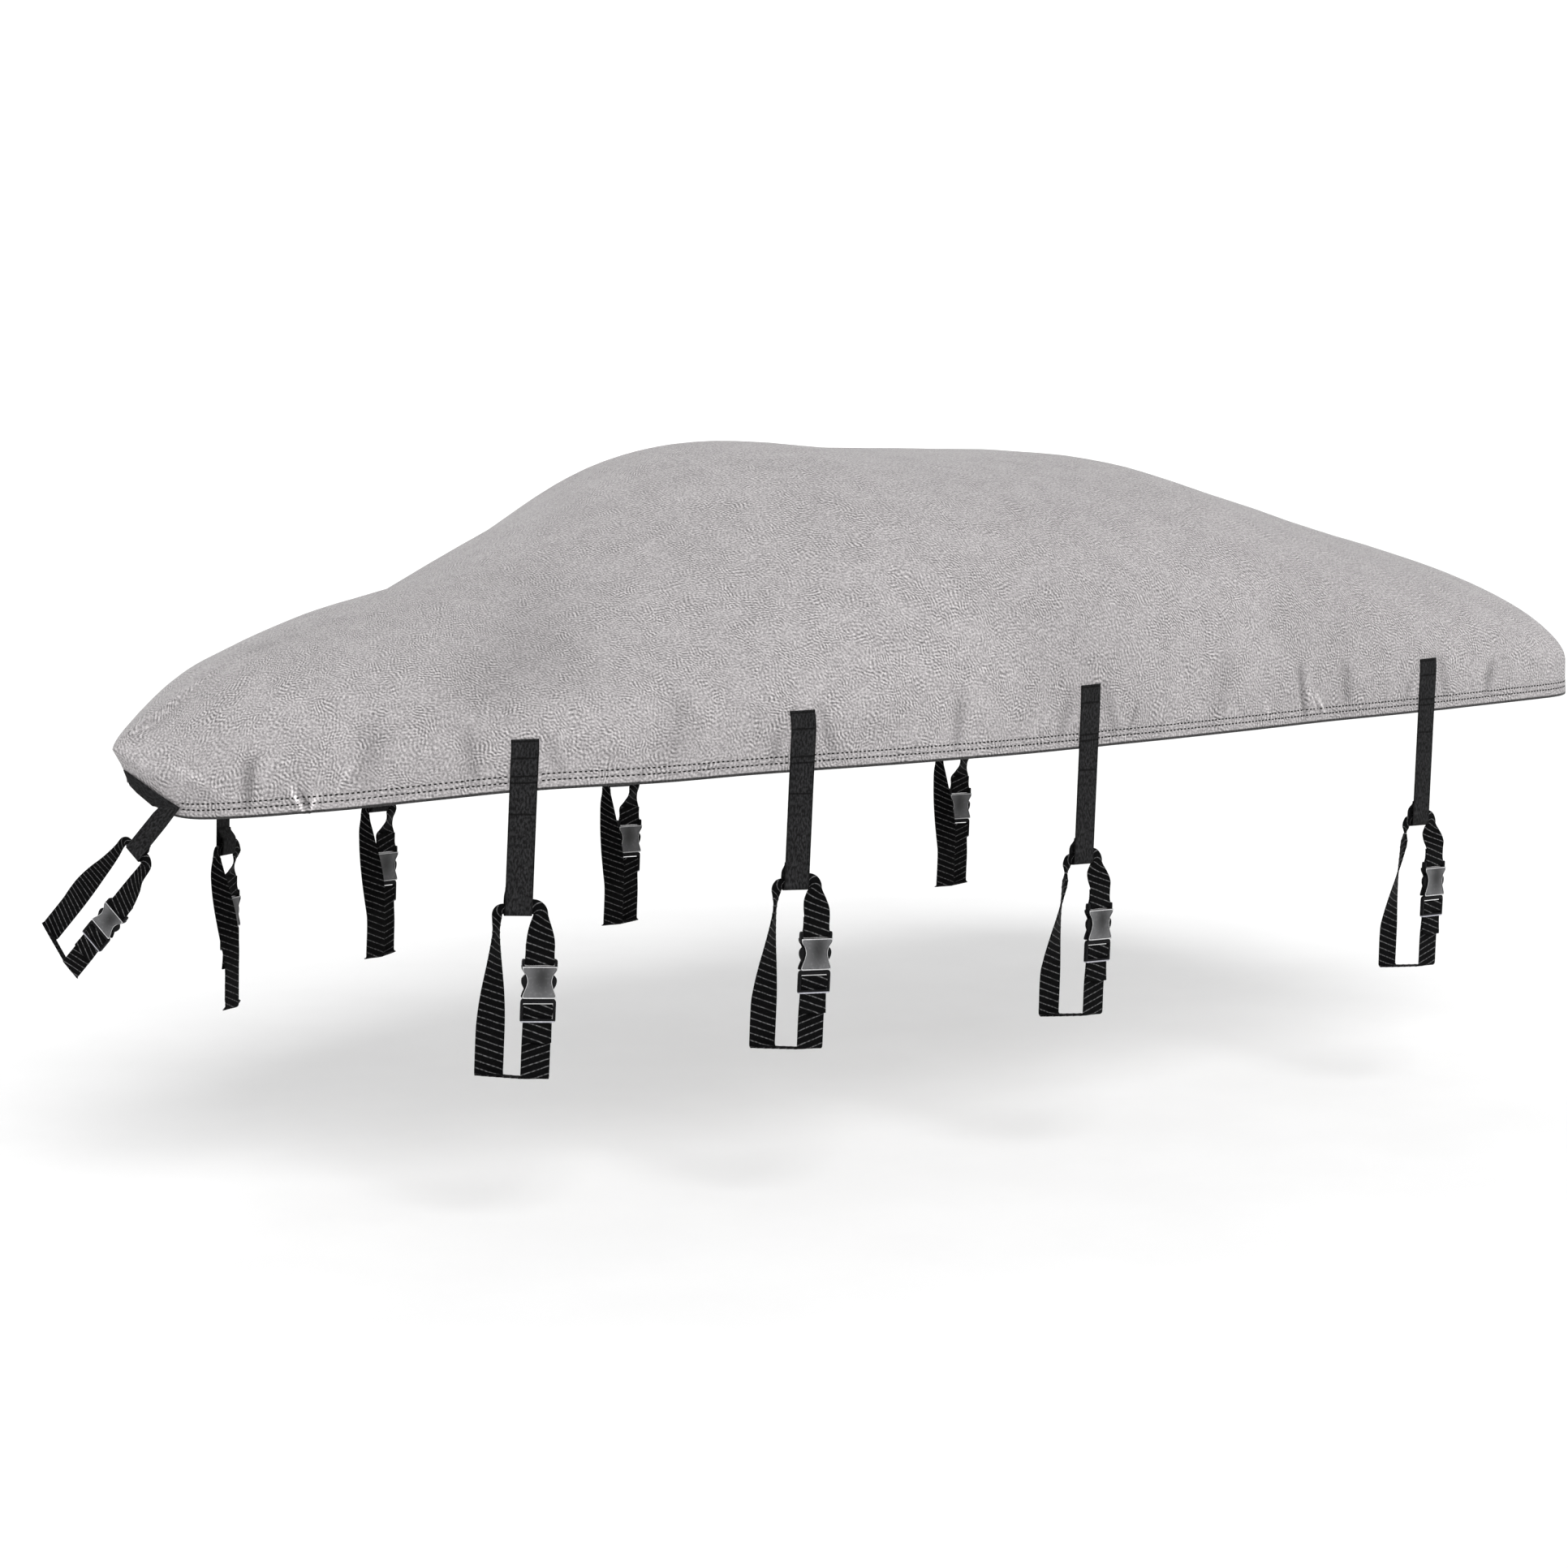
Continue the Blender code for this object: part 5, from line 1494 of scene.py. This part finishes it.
def strap_seams(stations, rows, width):
    """Seats for stitches across a strap's outer face, at distances down it from its sewn end."""
    run, centres, acrosses, outs = resampled(stations, SEAM_STEP)
    count = int((width - 2 * SEAM_INSET) / STRAP_STITCH_PITCH)
    seats = []
    for row in rows:
        centre, across, out = (
            Vector([np.interp(row, run, values[:, axis]) for axis in range(3)])
            for values in (centres, acrosses, outs)
        )
        for k in range(count):
            off = (k - (count - 1) / 2) * STRAP_STITCH_PITCH
            place = centre + across.normalized() * off + out * (1 - SEAM_SINK)
            seats.append((place, across.normalized(), out.normalized()))
    return seats


class BOATCOVER_OT_straps(bpy.types.Operator):
    """Add the sewn straps down the sides and round the nose, with their stitching"""

    bl_idname = "boatcover.straps"
    bl_label = "Straps"

    def execute(self, context):
        colours = context.scene.boat_cover_colours
        webbing = strap_material("strap_webbing", colours.strap)
        seats = []
        for side_name, side in SIDES:
            for number, strap in enumerate(STRAPS, 1):
                name = f"{side_name}_{number}"
                stations, _ = side_strap(cloth_sides()[side], side, strap)
                hem = strap.rise + STRAP_SLACK
                rows = (*SEAM_ROWS, *(hem - row for row in STITCH_ROWS[::-1]), hem + SEAM_BELOW_HEM)
                mesh = strip_mesh("strap_webbing_" + name, stations, STRAP_STEP, rows=rows)
                made = finished(mesh.name, mesh, [webbing], "strap_webbing", "strap_" + name)
                flat_size = STRAP_WIDTH, length_of(stations)
                seats += strap_seams(stations, rows, STRAP_WIDTH)
        stations, _ = bow_strap()
        mesh = strip_mesh("strap_webbing_bow", stations, STRAP_STEP, smooth=False)
        made = finished(mesh.name, mesh, [webbing], "strap_webbing", "strap_bow")
        flat_size = BOW_STRAP_WIDTH, length_of(stations)
        mesh = stitches_mesh("strap_stitching", seats, *STRAP_STITCH)
        thread = thread_material("strap_thread", colours.strap_thread)
        finished("strap_stitching", mesh, [thread], "strap_webbing")
        return {"FINISHED"}


def hung_loops():
    """Every loop's name, the strap side it has, its place and axes, and its shape."""
    found = []
    for side_name, side in SIDES:
        for number, strap in enumerate(STRAPS, 1):
            _, hung = side_strap(cloth_sides()[side], side, strap)
            found.append((f"{side_name}_{number}", side, axes_at(*hung), SIDE_LOOP))
    _, hung = bow_strap()
    return found + [("bow", PORT, axes_at(*hung, BOW_SCALE), BOW_LOOP)]


class BOATCOVER_OT_loops(bpy.types.Operator):
    """Add the webbing loop through the end of each strap"""

    bl_idname = "boatcover.loops"
    bl_label = "Webbing Loops"

    def execute(self, context):
        sizes, colours = context.scene.boat_cover_sizes, context.scene.boat_cover_colours
        webbing = loop_material("loop_webbing", colours.web, colours.rib, sizes.rib_spacing)

        def ribbed(run, across):
            off = np.abs(((run + RIB_SLANT * across) / sizes.rib_spacing) % 1 - 0.5) * sizes.rib_spacing
            return 1 + 2 * sizes.rib_height / WEB * np.exp(-((off / RIB_HALF) ** 2))

        other_side = Matrix.Diagonal((1, -1, 1))
        for name, side, place, shape in hung_loops():
            stations = loop_stations(shape)
            if side == STARBOARD:
                stations = [tuple(other_side @ axis for axis in row) for row in stations]
            mesh = strip_mesh("loop_webbing_" + name, stations, LOOP_STEP, ribbed, FRAYED)
            mesh.transform(place)
            made = finished(mesh.name, mesh, [webbing], "loop_webbing", "web_" + name)
            scale = place.to_scale().x
            flat_size = LOOP_WIDTH * scale, length_of(stations) * scale
        return {"FINISHED"}


def mark_faces(latch, socket):
    """Gives the socket's let-in faces and the rim round them their own materials, the rim's being a
    painted highlight, and the latch one.
    """
    for polygon in socket.polygons:
        flat_on = abs(polygon.normal.y) > FLAT_ON
        depth = BUCKLE_THICK / 2 - abs(polygon.center.y)
        if flat_on and abs(depth - FACE_DEPTH) < SAME_PLACE:
            polygon.material_index = FACE_SLOT
        elif flat_on and abs(depth) < SAME_PLACE:
            polygon.material_index = RIM_SLOT
    for polygon in latch.polygons:
        polygon.material_index = 0


class BOATCOVER_OT_buckles(bpy.types.Operator):
    """Add both halves of each loop's buckle"""

    bl_idname = "boatcover.buckles"
    bl_label = "Buckles"

    def execute(self, context):
        colours = context.scene.boat_cover_colours
        edge = context.scene.boat_cover_sizes.buckle_edge
        materials = [
            plastic_material("buckle_plastic", colours.buckle, 0.06, lip_highlight),
            plastic_material("buckle_face", colours.buckle_face, 0.22, shaded_face),
            # the rim's material is a pale painted highlight
            plastic_material("buckle_rim_highlight", colours.buckle_rim_highlight, 0.5),
        ]
        latch, socket = ladder_mesh(LATCH_EDGE * edge), socket_mesh(edge)
        mark_faces(latch, socket)
        for name, side, place, shape in hung_loops():
            face_out = Matrix.Rotation(math.pi if side == STARBOARD else 0.0, 4, "Z")
            seat = Matrix.Translation((shape.front_x, -side * BUCKLE_Y, shape.foot)) @ face_out
            for kind, source in (("latch", latch), ("socket", socket)):
                mesh = source.copy()
                mesh.transform(place @ seat)
                mesh.name = f"buckle_{kind}_{name}"
                node = f"{kind}_{name}"
                finished(mesh.name, mesh, materials, "buckle_plastic", node, smooth=False)
        return {"FINISHED"}


def look(turn, tilt):
    """The direction of sight from a place at that azimuth, 0 being to port, and that elevation."""
    return Vector((-math.sin(turn) * math.cos(tilt), math.cos(turn) * math.cos(tilt), -math.sin(tilt)))


def stage_object(name, data, sight=None, place=(0, 0, 0)):
    """A new object in the scene at that place, turned to the line of sight if there is one."""
    made = bpy.data.objects.new(name, data)
    made.location = place
    if sight:
        made.rotation_euler = sight.to_track_quat("-Z", "Y").to_euler()
    bpy.context.scene.collection.objects.link(made)
    return made


def floor_mesh():
    """A round floor that curves up into a wall."""
    profile = [(STAGE_RADIUS, FLOOR_Z)]
    for k in range(1, STAGE_STEPS + 1):
        a = math.pi / 2 * k / STAGE_STEPS
        out, up = STAGE_CURVE * math.sin(a), STAGE_CURVE * (1 - math.cos(a))
        profile.append((STAGE_RADIUS + out, FLOOR_Z + up))
    profile.append((STAGE_RADIUS + STAGE_CURVE, FLOOR_Z + STAGE_WALL))
    around = STAGE_SIDES
    turns = [math.tau * i / around for i in range(around)]
    points = [(radius * math.cos(a), radius * math.sin(a), z) for radius, z in profile for a in turns]
    faces = []
    for low in range(0, len(points) - around, around):
        for i in range(around):
            j = (i + 1) % around
            faces.append((low + i, low + around + i, low + around + j, low + j))
    points.append((0.0, 0.0, FLOOR_Z))
    faces += [(len(points) - 1, i, (i + 1) % around) for i in range(around)]
    return mesh_of("floor", points, faces)


class BOATCOVER_OT_stage(bpy.types.Operator):
    """Add the floor, the lights and the camera"""

    bl_idname = "boatcover.stage"
    bl_label = "Stage"

    def execute(self, context):
        scene = context.scene
        mesh = floor_mesh()
        mesh.materials.append(floor_material("floor", scene.boat_cover_colours.floor))
        mesh.shade_smooth()
        floor = stage_object("floor", mesh)

        world = bpy.data.worlds.new("studio")
        world.use_nodes = True
        shade = world.node_tree.nodes["Background"]
        shade.inputs["Color"].default_value = (1, 1, 1, 1)
        shade.inputs["Strength"].default_value = SKY
        scene.world = world
        for name, sun in SUNS.items():
            light = bpy.data.lights.new(name, "SUN")
            light.energy, light.angle = sun.power, math.radians(sun.spread)
            stage_object(name, light, look(math.radians(sun.turn), math.radians(sun.height)))

        lens = bpy.data.cameras.new("camera")
        lens.lens, lens.sensor_width = CAMERA_LENS, CAMERA_SENSOR
        sight = look(CAMERA_TURN, CAMERA_TILT)
        place = Vector(CAMERA_AIM) - CAMERA_DISTANCE * sight
        scene.camera = stage_object("camera", lens, sight, place)
        scene.view_settings.view_transform = "Standard"
        return {"FINISHED"}


class BOATCOVER_PT_panel(bpy.types.Panel):
    """Sizes, colours and pieces of the boat cover"""

    bl_idname = "BOATCOVER_PT_panel"
    bl_label = "Boat Cover"
    bl_space_type = "VIEW_3D"
    bl_region_type = "UI"
    bl_category = "Boat Cover"

    def draw(self, context):
        for group in (context.scene.boat_cover_sizes, context.scene.boat_cover_colours):
            box = self.layout.box()
            for key in type(group).__annotations__:
                box.prop(group, key)
        for operator in OPERATORS:
            self.layout.operator(operator.bl_idname)


OPERATORS = (
    BOATCOVER_OT_cloth,
    BOATCOVER_OT_hem_stitching,
    BOATCOVER_OT_straps,
    BOATCOVER_OT_loops,
    BOATCOVER_OT_buckles,
    BOATCOVER_OT_stage,
)
CLASSES = (BoatCoverSizes, BoatCoverColours, *OPERATORS, BOATCOVER_PT_panel)


def register():
    for each in CLASSES:
        bpy.utils.register_class(each)
    bpy.types.Scene.boat_cover_sizes = PointerProperty(type=BoatCoverSizes)
    bpy.types.Scene.boat_cover_colours = PointerProperty(type=BoatCoverColours)


def unregister():
    del bpy.types.Scene.boat_cover_sizes
    del bpy.types.Scene.boat_cover_colours
    for each in reversed(CLASSES):
        bpy.utils.unregister_class(each)


def main():
    register()
    bpy.ops.boatcover.cloth()
    bpy.ops.boatcover.hem_stitching()
    bpy.ops.boatcover.straps()
    bpy.ops.boatcover.loops()
    bpy.ops.boatcover.buckles()
    bpy.ops.boatcover.stage()


if __name__ == "__main__":
    main()
